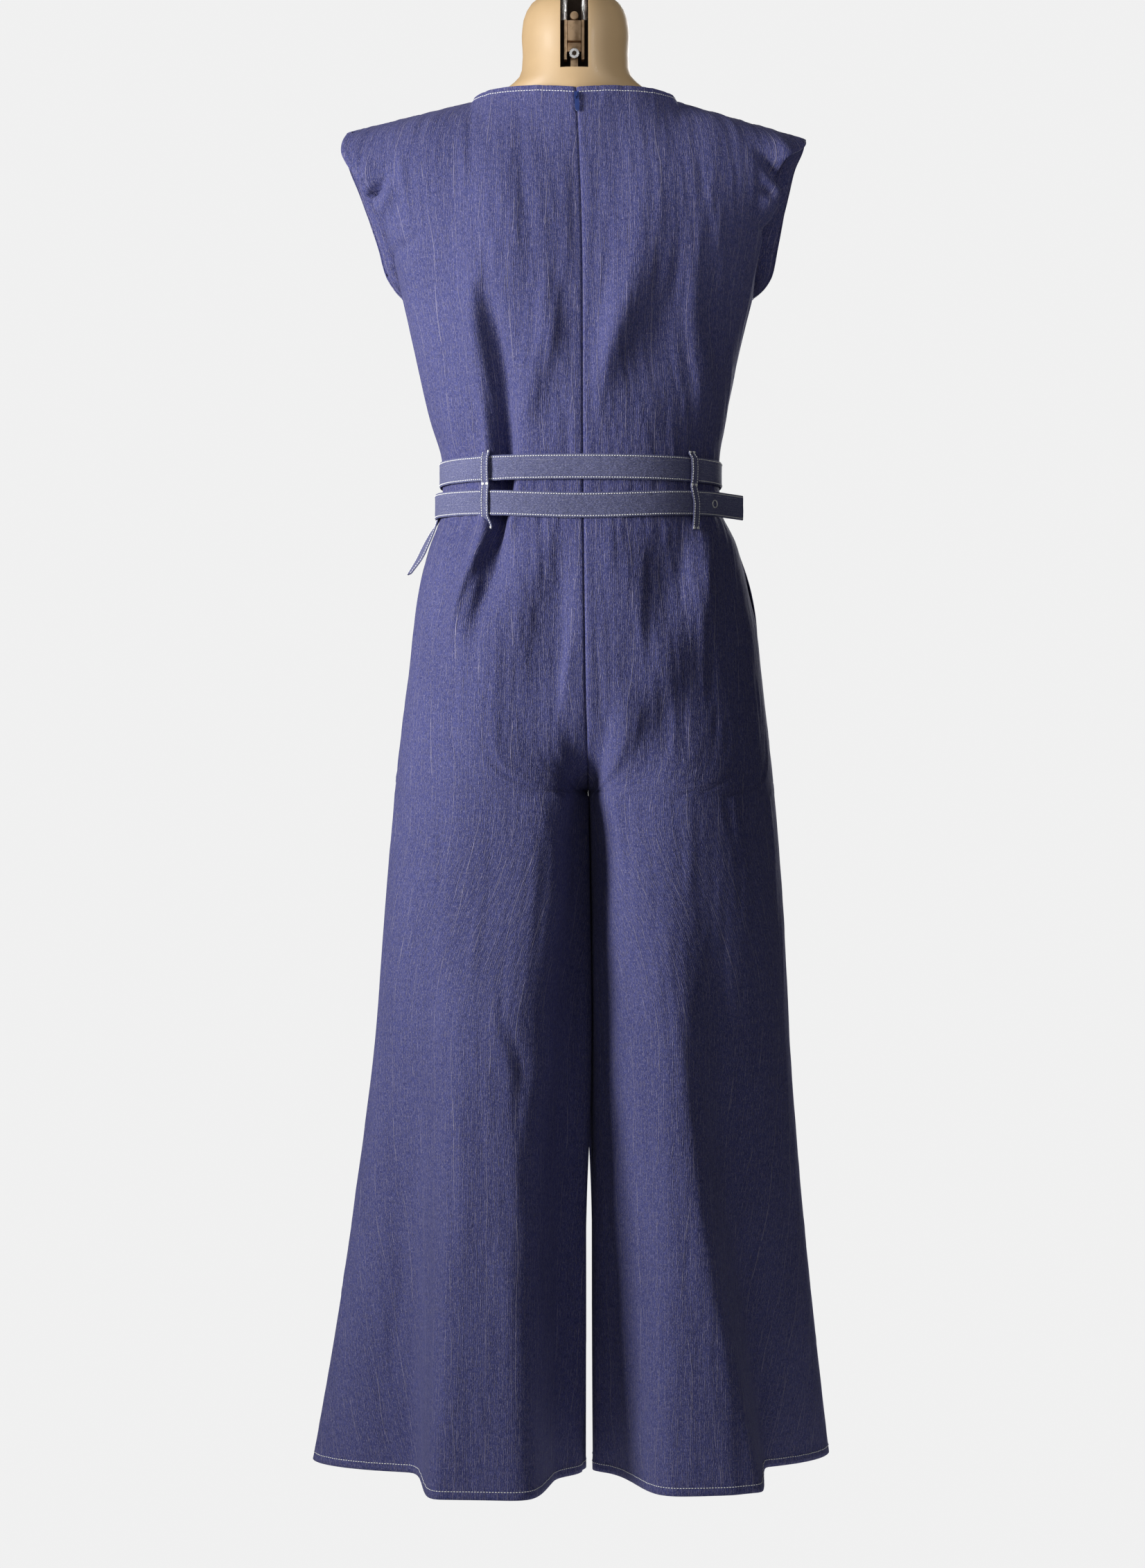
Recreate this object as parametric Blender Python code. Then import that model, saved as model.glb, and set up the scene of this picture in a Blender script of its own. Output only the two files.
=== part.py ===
"""A sleeveless jumpsuit with wide legs and a double belt, hanging on a limbless dress form.

The cloth is four panels that run from the shoulder to the hem: back and front, left and
right, sewn at the centre back, centre front, sides, inner legs, crotch and shoulders. The
belt goes round twice, through two carriers on the back. The form hangs by the fitting in
its neck, so the origin is the middle of the hanging ring.

Sizes are in millimetres until an object is made. Heights are counted from the crotch level
while the shapes are worked out, and from the hanging ring in the finished objects. +X is the
wearer's left, +Y the back and +Z up.
"""

import math
from typing import NamedTuple

import bmesh
import bpy
import numpy as np
from mathutils import Vector

MM = 0.001
HANG_HEIGHT = 890.0  # of the ring's middle above the crotch level

# Cloth and seams
WALL = 1.5
SEAM_GAP = 0.3
CLEARANCE = 0.4
ROUNDNESS = 2.3  # exponent of the body's rounded sections
LEG_ROUNDNESS = 2.2
COLUMNS = 19

# Heights of the main levels
HEM = -723.0
CROTCH = -10.0
CROTCH_RISE = 110.0  # from the crotch to where the centre seams stand upright
THIGH_FOOT = -140.0  # where a leg's section starts to open into half of the body
THIGH_TOP = 150.0
SEAM_REACH = 0.4  # the share of a panel that the crotch seam's curve draws in
UNDERARM = 514.0
NECK_SIDE_Z = 724.0
LEG_ROWS = (HEM, -640, -540, -430, -310, -190, -90)
CROTCH_SHARES = (0.0, 0.064, 0.23, 0.5, 1.0)
BODY_ROWS = (150, 200, 240, 262, 285, 306, 345, 385, 430, 475, UNDERARM)
YOKE_ROWS = 6
YOKE_CROWDING = 1.5  # above 1, the yoke's rows lie closer towards the shoulder


class Section(NamedTuple):
    """The cloth's outline at one height: half widths, depths and the y of the side seams."""

    z: float
    left: float
    right: float
    back: float
    front: float
    seam_left: float
    seam_right: float


SECTIONS = (
    Section(HEM, 287, 269, 54, 55, -41, -78),
    Section(-572, 260, 250, 67, 68, -26, -42),
    Section(-425, 238, 234, 82, 82, -14, -20),
    Section(-278, 219, 222, 98, 96, -6, -8),
    Section(-131, 207, 214, 112, 108, 0, 0),
    Section(-3, 196, 204, 128, 120, 0, 0),
    Section(53, 190, 198, 134, 122, 0, 0),
    Section(126, 181, 190, 135, 122, 0, 0),
    Section(163, 177, 186, 131, 121, 0, 0),
    Section(200, 171, 178, 124, 118, 0, 0),
    Section(236, 164, 169.5, 117, 114, 0, 0),
    Section(255, 158.5, 164, 113, 111, 0, 0),
    Section(270, 152.5, 156.5, 109, 109, 0, 0),
    Section(285, 147.5, 149, 107, 107, 0, 0),
    Section(306, 146, 147, 106, 107, 0, 0),
    Section(345, 147.5, 147, 107, 110, 0, 0),
    Section(383, 159, 153, 110, 118, 0, 0),
    Section(420, 168, 160, 112, 126, 0, 0),
    Section(457, 176, 168, 114, 130, 0, 0),
    Section(UNDERARM, 189, 182, 112, 128, 2, 2),
)


class CentreRow(NamedTuple):
    """Where the centre back and centre front seams lie at one height."""

    z: float
    x: float


CENTRE = (
    CentreRow(HEM, -9.0),
    CentreRow(CROTCH, -7.7),
    CentreRow(83, -5.0),
    CentreRow(166, -3.7),
    CentreRow(350, -2.0),
    CentreRow(600, 0.0),
    CentreRow(730, 5.0),
)


class InseamRow(NamedTuple):
    """Half the gap between the legs, and the y of each inner leg seam, at one height."""

    z: float
    half_gap: float
    left_y: float
    right_y: float


INSEAMS = (
    InseamRow(HEM, 3.6, 6, 16),
    InseamRow(-600, 3.2, 8, 14),
    InseamRow(-120, 2.2, 10, 10),
    InseamRow(-60, 1.6, 10, 10),
    InseamRow(CROTCH, 0.0, 10, 10),
)


class Flute(NamedTuple):
    """A flare of one leg panel: a raised stretch between an inner and an outer wall.

    The walls' x are given at the crotch, at mid leg and at the hem; the softness is the half
    width of a wall at the crotch and at the hem.
    """

    panel: str
    inner: tuple
    outer: tuple
    inner_soft: tuple
    outer_soft: tuple
    height: float


FLUTES = (
    Flute("back_left", (64, 46, 34), (136, 149, 163), (34, 13), (34, 7), 118),
    Flute("back_right", (-62, -60, -58), (-106, -130, -190), (30, 20), (26, 3), 113),
    Flute("front_left", (58, 62, 66), (132, 158, 182), (34, 18), (34, 10), 104),
    Flute("front_right", (-48, -42, -38), (-118, -140, -166), (34, 14), (30, 9), 108),
)
FLUTE_TOP = 60.0
FLUTE_GROWTH = 1.5


class Fold(NamedTuple):
    """A trough (depth under 0) or ridge over three (x, z) places; it is deepest at the middle."""

    panel: str
    depth: float
    breadth: float
    top: tuple
    middle: tuple
    bottom: tuple


FOLDS = (
    Fold("back_left", -24, 12, (112, 600), (80, 306), (132, 90)),
    Fold("back_left", 7, 20, (36, 540), (40, 420), (66, 352)),
    Fold("back_left", -8, 14, (26, 470), (34, 420), (44, 352)),
    Fold("back_left", -9, 18, (8, 282), (34, 170), (50, 30)),
    Fold("back_right", 8, 18, (-62, 570), (-34, 470), (-8, 356)),
    Fold("back_right", -9, 18, (-60, 540), (-28, 420), (-12, 352)),
    Fold("back_right", 6, 18, (-134, 500), (-130, 420), (-122, 352)),
    Fold("back_right", -12, 24, (-26, 290), (-68, 190), (-88, 90)),
    Fold("back_right", 7, 20, (-116, 256), (-108, 190), (-100, 120)),
    Fold("back_right", 8, 22, (-62, 120), (-48, 40), (-30, -60)),
    Fold("front_left", -20, 12, (96, 470), (74, 306), (104, 110)),
    Fold("front_left", -9, 18, (30, 290), (44, 190), (60, 60)),
    Fold("front_right", -18, 12, (-104, 480), (-82, 306), (-118, 100)),
    Fold("front_right", -10, 20, (-24, 286), (-50, 190), (-62, 50)),
)


class Edge(NamedTuple):
    """One place on the edge of an armhole."""

    x: float
    y: float
    z: float


ARMHOLES = {
    "back_left": (
        Edge(189, 2, UNDERARM),
        Edge(194, 18, 538),
        Edge(202, 34, 565),
        Edge(210, 43, 594),
        Edge(226, 46, 616),
        Edge(235, 42, 634),
        Edge(247, 34, 652),
        Edge(253, 22, 667),
        Edge(252, 10, 681),
        Edge(248, -1, 691),
    ),
    "back_right": (
        Edge(-182, 2, UNDERARM),
        Edge(-185, 18, 541),
        Edge(-191, 32, 570),
        Edge(-200, 40, 597),
        Edge(-208, 45, 618),
        Edge(-208, 46, 634),
        Edge(-210, 44, 648),
        Edge(-226, 34, 662),
        Edge(-237, 18, 674),
        Edge(-239, -1, 684),
    ),
    "front_left": (
        Edge(189, 2, UNDERARM),
        Edge(200, -22, 527),
        Edge(210, -36, 545),
        Edge(218, -47, 575),
        Edge(229, -54, 608),
        Edge(239, -50, 636),
        Edge(248, -38, 658),
        Edge(252, -20, 676),
        Edge(248, -1, 691),
    ),
    "front_right": (
        Edge(-182, 2, UNDERARM),
        Edge(-196, -22, 527),
        Edge(-205, -36, 542),
        Edge(-213, -47, 578),
        Edge(-219, -54, 609),
        Edge(-225, -50, 636),
        Edge(-230, -36, 658),
        Edge(-237, -18, 674),
        Edge(-239, -1, 684),
    ),
}

# Neckline: half widths at the sides of the neck, and its low points at the centres
NECK_LEFT = 114.0
NECK_RIGHT = 101.0
NECK_BACK_Y = 61.0
NECK_BACK_Z = 726.0
NECK_BACK_LIFT = 4.0
NECK_FRONT_Y = -82.0
NECK_FRONT_Z = 652.0
NECK_SHARE = 8 / (COLUMNS - 1)  # the columns that end at the neckline
SHOULDER_Y = -1.0
SHOULDER_PULL = 230.0  # how squarely the cloth turns over the shoulder
UPRIGHT_PULL = 190.0


class Panel(NamedTuple):
    name: str
    side: int  # 1 for the wearer's left, -1 for the right
    face: int  # 1 for the back, -1 for the front


PANELS = (
    Panel("back_left", 1, 1),
    Panel("back_right", -1, 1),
    Panel("front_left", 1, -1),
    Panel("front_right", -1, -1),
)

# In-seam pockets: heights of the mouth's ends, and how far its edges part
POCKET_TOP = 262.0
POCKET_FOOT = 140.0
POCKET_BAG_FOOT = 92.0
POCKET_FIRST_COLUMN = 10  # the bag runs from here to the side seam
POCKET_GAPE = {1: 2.0, -1: 4.0}
BAG_WALL = 1.0

# Belt, tail and carriers
BELT_WIDTH = 26.0
BELT_WALL = 1.7
UPPER_TURN_Z = 326.0
LOWER_TURN_Z = 292.5
LOWER_TURN_SAG = 6.3  # at the centre back
DROP_ENDS = 62.0  # degrees round from the centre front where the second turn is below the first
TIP_RUN = 56.0  # length of the free end past the side of the waist
TIP_LEAVES = 246.0  # degrees round from the centre front where the free end leaves the waist
BELT_CLEAR = 1.0
SECOND_LAYER = BELT_WALL + 2 * CLEARANCE
RAISED_UNTIL = 100.0  # degrees; the second turn lies over the first turn, then over the tail
CARRIER_WIDTH = 9.0
CARRIER_WALL = 1.2
CARRIER_TOP = 345.0
CARRIER_FOOT = 263.0
CARRIER_REACH = BELT_CLEAR + BELT_WALL + 1.0  # how far it stands off where it passes a strap
CARRIER_BULGE = 0.8
TURN_POINTS = 65
UP = np.array([0.0, 0.0, 1.0])


class Carrier(NamedTuple):
    """A belt carrier: its x at the top and at the foot, and its ends' height over the folds."""

    side: str
    top_x: float
    foot_x: float
    seat: float


CARRIERS = (
    Carrier("left", 98.0, 97.0, -0.1),
    Carrier("right", -114.0, -118.0, 0.5),
)

# Buckle at the centre front
BUCKLE_HALF = (22.0, 18.0)
BUCKLE_HOLE_HALF = (17.0, 14.0)
BUCKLE_WALL = 2.4
PRONG_RADIUS = 1.1
EYELET_RADIUS = 3.8
EYELET_WIRE = 0.7


class TailRow(NamedTuple):
    """One level of the belt's tail: its inner face's middle, and how far it turns to the back."""

    z: float
    x: float
    yaw: float


TAIL = (
    TailRow(296, 148.3, 0.0),
    TailRow(285, 148.8, 0.0),
    TailRow(277, 150.9, 0.0),
    TailRow(267, 155.8, 1.4),
    TailRow(252, 163.0, 2.2),
    TailRow(239, 169.0, 2.2),
    TailRow(222, 181.0, 1.4),
)

# Zip
ZIP_FOOT = 150.0
TAPE_HALF = 5.0
TAPE_WALL = 1.0
SLIDER_HALF_HEIGHT = 4.6
SLIDER_HALF_WIDTH = 2.6
SLIDER_WALL = 1.4
SLIDER_BRIDGE_WIDTH = 1.2
BRIDGE_WINDOW = 1.7  # half height of the window that the pull's crossbar goes through
BRIDGE_POST = 0.8
BRIDGE_BEAM = 0.7
PULL_HINGE_Z = 715.5
PULL_LENGTH = 19.0
PULL_WIDTH = 5.0
PULL_WALL = 0.8
PULL_BAR = 0.5  # half height of the pull's crossbar
PULL_CLEAR = 1.3  # of the tab's middle plane from the cloth at its foot

# Dress form
FORM_X = 5.5  # the neck's middle
NECK_RADIUS = 56.5
FORM_SIDES = 28
SLOT_WIDTH = 29.2
SLOT_FOOT = 748.0
SLOT_DEPTH_Y = 6.0


class FormRing(NamedTuple):
    """One level of the dress form: half width, depth to the back and front, and its exponent."""

    z: float
    half: float
    back: float
    front: float
    power: float


FORM = (
    FormRing(26, 34, 26, 24, 2.0),
    FormRing(30, 84, 54, 50, 2.0),
    FormRing(42, 124, 82, 78, 2.1),
    FormRing(66, 150, 104, 98, 2.2),
    FormRing(104, 160, 116, 108, 2.3),
    FormRing(150, 157, 115, 106, 2.3),
    FormRing(205, 143, 101, 98, 2.3),
    FormRing(255, 127, 84, 88, 2.2),
    FormRing(306, 118, 75, 80, 2.2),
    FormRing(345, 119, 76, 84, 2.2),
    FormRing(400, 130, 84, 98, 2.2),
    FormRing(455, 143, 92, 112, 2.2),
    FormRing(514, 150, 94, 108, 2.2),
    FormRing(570, 158, 90, 92, 2.2),
    FormRing(620, 168, 80, 70, 2.1),
    FormRing(660, 172, 68, 54, 1.9),
    FormRing(686, 166, 58, 46, 1.6),
    FormRing(700, 152, 55, 42, 1.35),
    FormRing(710, 134, 54, 41, 1.25),
    FormRing(718, 112, 54, 42, 1.25),
    FormRing(726, 92, 54, 46, 1.4),
    FormRing(736, 74, 55, 54, 1.8),
    FormRing(748, 60, 56, 55, 2.0),
    FormRing(764, NECK_RADIUS, 56, 56, 2.0),
    FormRing(800, NECK_RADIUS, 56, 56, 2.0),
    FormRing(818, 52, 52, 52, 2.0),
    FormRing(832, 39, 39, 39, 2.0),
    FormRing(840, 21, 21, 21, 2.0),
)

# Hanging fitting in the neck's slot
FITTING_X = 7.0
FITTING_Y = 30.0
PLATE_HALF_GAP = 7.6
PLATE_WALL = 3.0
PLATE_DEPTH = 12.0
PLATE_TOP = 802.0
PLATE_FOOT = 760.0
BLOCK_FOOT = 780.0
KNUCKLE_Z = 806.6
KNUCKLE_RADIUS = 4.6
SCREW_Z = 765.7
SCREW_RADIUS = 5.4
SLEEVE_RADIUS = 3.6
SLEEVE_HALF_GAP = 10.6
LUG_HALF = 4.0
SCREW_HEAD = 5.2
KNUCKLE_HALF = 5.0
BRIDGE_HALF = 17.2
BRIDGE_Z = 868.0
BRIDGE_RADIUS = 4.0
RING_WIRE = 2.5
RING_RADIUS = HANG_HEIGHT - BRIDGE_Z - BRIDGE_RADIUS - RING_WIRE - SEAM_GAP


class Finish(NamedTuple):
    """A material's colour, roughness and metallic value."""

    colour: tuple
    roughness: float
    metallic: float


FINISHES = {
    "denim": Finish((0.105, 0.115, 0.245), 0.85, 0.0),
    "belt_denim": Finish((0.115, 0.13, 0.24), 0.85, 0.0),
    "zip_blue": Finish((0.04, 0.07, 0.26), 0.45, 0.0),
    "form_skin": Finish((0.72, 0.54, 0.35), 0.45, 0.0),
    "brass": Finish((0.62, 0.42, 0.24), 0.35, 1.0),
    "steel": Finish((0.72, 0.72, 0.72), 0.25, 1.0),
}


# ---------------------------------------------------------------- small helpers


def through(knots, values, at):
    """The smooth curve through the given knots (rising) and values, read at one or more places."""
    knots = np.asarray(knots, float)
    values = np.asarray(values, float)
    slopes = np.gradient(values, knots)
    at = np.clip(at, knots[0], knots[-1])
    low = np.clip(np.searchsorted(knots, at) - 1, 0, len(knots) - 2)
    step = knots[low + 1] - knots[low]
    u = (at - knots[low]) / step
    start = (1 + 2 * u) * (1 - u) ** 2 * values[low] + u * (1 - u) ** 2 * step * slopes[low]
    end = u * u * (3 - 2 * u) * values[low + 1] + u * u * (u - 1) * step * slopes[low + 1]
    return start + end


def column(rows, name, z):
    """One named column of a table with a z in each row, read at a height."""
    rows = sorted(rows, key=lambda row: row.z)
    return through([row.z for row in rows], [getattr(row, name) for row in rows], z)


def smooth(share):
    """0 to 1 with flat ends."""
    share = np.clip(share, 0.0, 1.0)
    return share * share * (3 - 2 * share)


def unit(vectors):
    vectors = np.asarray(vectors, float)
    return vectors / np.maximum(np.linalg.norm(vectors, axis=-1, keepdims=True), 1e-9)


def spaced(points, count):
    """The same open line with this many points, evenly far apart."""
    steps = np.linalg.norm(np.diff(points, axis=0), axis=1)
    run = np.concatenate([[0.0], np.cumsum(steps)])
    places = np.linspace(0.0, run[-1], count)
    return np.stack([np.interp(places, run, points[:, axis]) for axis in range(points.shape[1])], 1)


def to_metres(points):
    """World coordinates: metres, with the hanging ring's middle as the origin."""
    return (np.array(points, float) - (FITTING_X, FITTING_Y, HANG_HEIGHT)) * MM


def material_for(finish):
    """The Principled material of this finish, made once."""
    known = bpy.data.materials.get(finish)
    if known:
        return known
    values = FINISHES[finish]
    material = bpy.data.materials.new(finish)
    material.use_nodes = True
    shader = material.node_tree.nodes["Principled BSDF"]
    shader.inputs["Base Color"].default_value = (*values.colour, 1.0)
    shader.inputs["Roughness"].default_value = values.roughness
    shader.inputs["Metallic"].default_value = values.metallic
    material.diffuse_color = (*values.colour, 1.0)
    return material


def add_mesh(name, points, faces, finish):
    """One closed object from points in millimetres."""
    mesh = bpy.data.meshes.new(name)
    mesh.from_pydata([tuple(point) for point in to_metres(points)], [], faces)
    shape = bmesh.new()
    shape.from_mesh(mesh)
    bmesh.ops.recalc_face_normals(shape, faces=shape.faces)
    shape.to_mesh(mesh)
    shape.free()
    mesh.shade_smooth()
    mesh.set_sharp_from_angle(angle=math.radians(40))
    body = bpy.data.objects.new(name, mesh)
    bpy.context.collection.objects.link(body)
    mesh.materials.append(material_for(finish))
    return body


def add_wall(name, outer, inner, finish):
    """A closed wall between two grids of points with the same rows and columns."""
    rows, columns = outer.shape[:2]
    points = np.concatenate([outer.reshape(-1, 3), inner.reshape(-1, 3)])
    under = rows * columns
    faces = []
    for row in range(rows - 1):
        for place in range(columns - 1):
            a = row * columns + place
            b, c, d = a + 1, a + columns + 1, a + columns
            first = np.linalg.norm(points[a] - points[c])
            second = np.linalg.norm(points[b] - points[d])
            halves = ((a, b, c), (a, c, d)) if first <= second else ((a, b, d), (b, c, d))
            for face in halves:
                faces.append(face)
                faces.append(tuple(under + corner for corner in reversed(face)))
    rim = list(range(columns))
    rim += [row * columns + columns - 1 for row in range(1, rows)]
    rim += [(rows - 1) * columns + place for place in range(columns - 2, -1, -1)]
    rim += [row * columns for row in range(rows - 2, 0, -1)]
    for here, there in zip(rim, rim[1:] + rim[:1]):
        faces.append((there, here, under + here))
        faces.append((there, under + here, under + there))
    return add_mesh(name, points, faces, finish)


def add_tube_of_rings(name, rings, finish):
    """A closed body through rings of equally many points, with flat ends."""
    sides = len(rings[0])
    points = np.concatenate(rings)
    faces = []
    for level in range(len(rings) - 1):
        for place in range(sides):
            a = level * sides + place
            b = level * sides + (place + 1) % sides
            faces.append((a, b, b + sides, a + sides))
    faces.append(tuple(range(sides - 1, -1, -1)))
    faces.append(tuple(range((len(rings) - 1) * sides, len(rings) * sides)))
    return add_mesh(name, points, faces, finish)


def add_box(name, low, high, finish):
    """A box between two corners in millimetres."""
    x, y, z = zip(low, high)
    corners = [[x[i], y[j], z[k]] for i in (0, 1) for j in (0, 1) for k in (0, 1)]
    faces = [(0, 1, 3, 2), (4, 6, 7, 5), (0, 4, 5, 1), (2, 3, 7, 6), (0, 2, 6, 4), (1, 5, 7, 3)]
    return add_mesh(name, corners, faces, finish)


def add_rod(name, start, end, radius, finish, sides=12):
    """A round rod between two places."""
    start, end = np.array(start, float), np.array(end, float)
    along = unit(end - start)
    across = unit(np.cross(along, (0.0, 0.0, 1.0) if abs(along[2]) < 0.9 else (1.0, 0.0, 0.0)))
    upward = np.cross(along, across)
    turns = np.linspace(0.0, 2 * math.pi, sides, endpoint=False)[:, None]
    circle = radius * (np.cos(turns) * across + np.sin(turns) * upward)
    return add_tube_of_rings(name, [start + circle, end + circle], finish)


def add_hoop(name, middle, axis, radius, wire, finish, sides=20, wire_sides=6):
    """A ring of round wire about an axis."""
    axis = unit(axis)
    across = unit(np.cross(axis, (0.0, 0.0, 1.0) if abs(axis[2]) < 0.9 else (1.0, 0.0, 0.0)))
    upward = np.cross(axis, across)
    points = []
    for turn in np.linspace(0.0, 2 * math.pi, sides, endpoint=False):
        outward = math.cos(turn) * across + math.sin(turn) * upward
        for roll in np.linspace(0.0, 2 * math.pi, wire_sides, endpoint=False):
            reach = radius + wire * math.cos(roll)
            points.append(np.array(middle) + reach * outward + wire * math.sin(roll) * axis)
    faces = []
    for turn in range(sides):
        for roll in range(wire_sides):
            a = turn * wire_sides + roll
            b = turn * wire_sides + (roll + 1) % wire_sides
            c = (turn + 1) % sides * wire_sides + (roll + 1) % wire_sides
            d = (turn + 1) % sides * wire_sides + roll
            faces.append((a, b, c, d))
    return add_mesh(name, points, faces, finish)


def add_frame_plate(name, outline, hole, middle, across, upward, thickness, finish):
    """A flat plate with one hole; both outlines have equally many corners, in order."""
    across, upward = np.array(across, float), np.array(upward, float)
    away = np.cross(across, upward)
    count = len(outline)
    points = []
    for level in (-thickness / 2, thickness / 2):
        for corner in list(outline) + list(hole):
            points.append(np.array(middle) + corner[0] * across + corner[1] * upward + level * away)
    faces = []
    for i in range(count):
        j = (i + 1) % count
        back = (i, j, count + j, count + i)
        faces.append(back)
        faces.append(tuple(2 * count + corner for corner in reversed(back)))
        faces.append((i, j, 2 * count + j, 2 * count + i))
        faces.append((count + i, count + j, 3 * count + j, 3 * count + i))
    return add_mesh(name, points, faces, finish)


# ---------------------------------------------------------------- the cloth's surface


def centre_x(z):
    return column(CENTRE, "x", z)


def half_width(panel, z):
    return panel.side * column(SECTIONS, "left" if panel.side > 0 else "right", z)


def depth(panel, z):
    return panel.face * column(SECTIONS, "back" if panel.face > 0 else "front", z)


def seam_y(panel, z):
    return column(SECTIONS, "seam_left" if panel.side > 0 else "seam_right", z)


def upright_shares(z, share):
    """0 where the panel wraps a whole leg, 1 where it is half of the body.

    The centre edge follows the crotch seam's curve; the rest changes over a longer stretch.
    """
    rise = np.clip((z - CROTCH) / CROTCH_RISE, 0.0, 1.0)
    at_seam = math.sqrt(1.0 - (1.0 - rise) ** 2)
    elsewhere = smooth((z - THIGH_FOOT) / (THIGH_TOP - THIGH_FOOT))
    return at_seam + (elsewhere - at_seam) * smooth(share / SEAM_REACH)


def inner_leg(panel, z):
    """The inner leg seam's x and y."""
    gap = column(INSEAMS, "half_gap", z) if z < CROTCH else 0.0
    y = column(INSEAMS, "left_y" if panel.side > 0 else "right_y", min(z, CROTCH))
    return centre_x(z) + panel.side * gap, y


def plain_outline(panel, z, count=160):
    """The panel's outline at one height without folds, from the centre to the side seam."""
    share = np.linspace(0.0, 1.0, count)
    outer, reach, side_y = half_width(panel, z), depth(panel, z), seam_y(panel, z)
    middle = centre_x(z)
    turn = share * math.pi / 2
    body_x = middle + (outer - middle) * np.sin(turn) ** (2 / ROUNDNESS)
    body_y = side_y + (reach - side_y) * np.clip(np.cos(turn), 0, 1) ** (2 / ROUNDNESS)
    inner_x, inner_y = inner_leg(panel, z)
    turn = share * math.pi
    bend = np.sign(np.cos(turn)) * np.abs(np.cos(turn)) ** (2 / LEG_ROUNDNESS)
    leg_x = (inner_x + outer) / 2 - (outer - inner_x) / 2 * bend
    leg_y = inner_y + (side_y - inner_y) * share
    leg_y = leg_y + reach * np.clip(np.sin(turn), 0, 1) ** (2 / LEG_ROUNDNESS)
    upright = upright_shares(z, share)
    x = upright * body_x + (1 - upright) * leg_x
    y = upright * body_y + (1 - upright) * leg_y
    return np.stack([x, y], 1)


def flute_offset(panel, x, z):
    """How far the leg's flare stands out at each x."""
    total = np.zeros_like(x)
    if z >= FLUTE_TOP:
        return total
    growth = ((FLUTE_TOP - z) / (FLUTE_TOP - HEM)) ** FLUTE_GROWTH
    fall = np.clip((CROTCH - z) / (CROTCH - HEM), 0.0, 1.0)
    for flute in FLUTES:
        if flute.panel != panel.name:
            continue
        inner = through((0, 0.5, 1), flute.inner, fall)
        outer = through((0, 0.5, 1), flute.outer, fall)
        inner_soft = flute.inner_soft[0] + (flute.inner_soft[1] - flute.inner_soft[0]) * fall
        outer_soft = flute.outer_soft[0] + (flute.outer_soft[1] - flute.outer_soft[0]) * fall
        rise = np.tanh((x - inner) * panel.side / inner_soft)
        drop = np.tanh((x - outer) * panel.side / outer_soft)
        total += flute.height * growth * (rise - drop) / 2
    return total


def fold_offset(panel, x, z):
    """How far the folds move the cloth out (or in) at each x; x and z may be arrays."""
    total = np.zeros_like(x)
    for fold in FOLDS:
        if fold.panel != panel.name:
            continue
        (top_x, top_z), (middle_x, middle_z), (foot_x, foot_z) = fold.top, fold.middle, fold.bottom
        line = through((foot_z, middle_z, top_z), (foot_x, middle_x, top_x), z)
        strength = smooth((top_z - z) / (top_z - middle_z)) * smooth((z - foot_z) / (middle_z - foot_z))
        total += fold.depth * strength * np.exp(-(((x - line) / fold.breadth) ** 2))
    return total


def outline(panel, z, count):
    """The panel's folded outline at one height, with evenly spaced points."""
    plain = plain_outline(panel, z)
    heading = unit(np.gradient(plain, axis=0))
    outward = np.stack([-heading[:, 1], heading[:, 0]], 1) * panel.side * panel.face
    share = np.linspace(0.0, 1.0, len(plain))
    held = smooth(share / 0.08) * smooth((1 - share) / 0.08)
    held[0] = held[-1] = 0.0
    folds = fold_offset(panel, plain[:, 0], z) * held
    flutes = flute_offset(panel, plain[:, 0], z) * held
    moved = plain + outward * folds[:, None]
    moved[:, 1] += panel.face * flutes
    return spaced(moved, count)


def neck_edge(panel, share):
    """A place on the neckline, from the centre (0) to the shoulder (1)."""
    turn = share * math.pi / 2
    side_x = NECK_LEFT if panel.side > 0 else -NECK_RIGHT
    middle = centre_x(NECK_BACK_Z if panel.face > 0 else NECK_FRONT_Z)
    x = middle + (side_x - middle) * math.sin(turn)
    if panel.face > 0:
        low_y, z = NECK_BACK_Y, NECK_BACK_Z + NECK_BACK_LIFT * math.sin(math.pi * share)
        z += (NECK_SIDE_Z - NECK_BACK_Z) * share
    else:
        low_y, z = NECK_FRONT_Y, NECK_SIDE_Z + (NECK_FRONT_Z - NECK_SIDE_Z) * math.cos(turn)
    return np.array([x, SHOULDER_Y + (low_y - SHOULDER_Y) * math.cos(turn), z])


def top_edge(panel, share):
    """A place on the panel's top: the neckline, then the shoulder seam."""
    if share <= NECK_SHARE:
        return neck_edge(panel, share / NECK_SHARE)
    start = neck_edge(panel, 1.0)
    end = np.array(ARMHOLES[panel.name][-1])
    return start + (end - start) * (share - NECK_SHARE) / (1 - NECK_SHARE)


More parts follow.
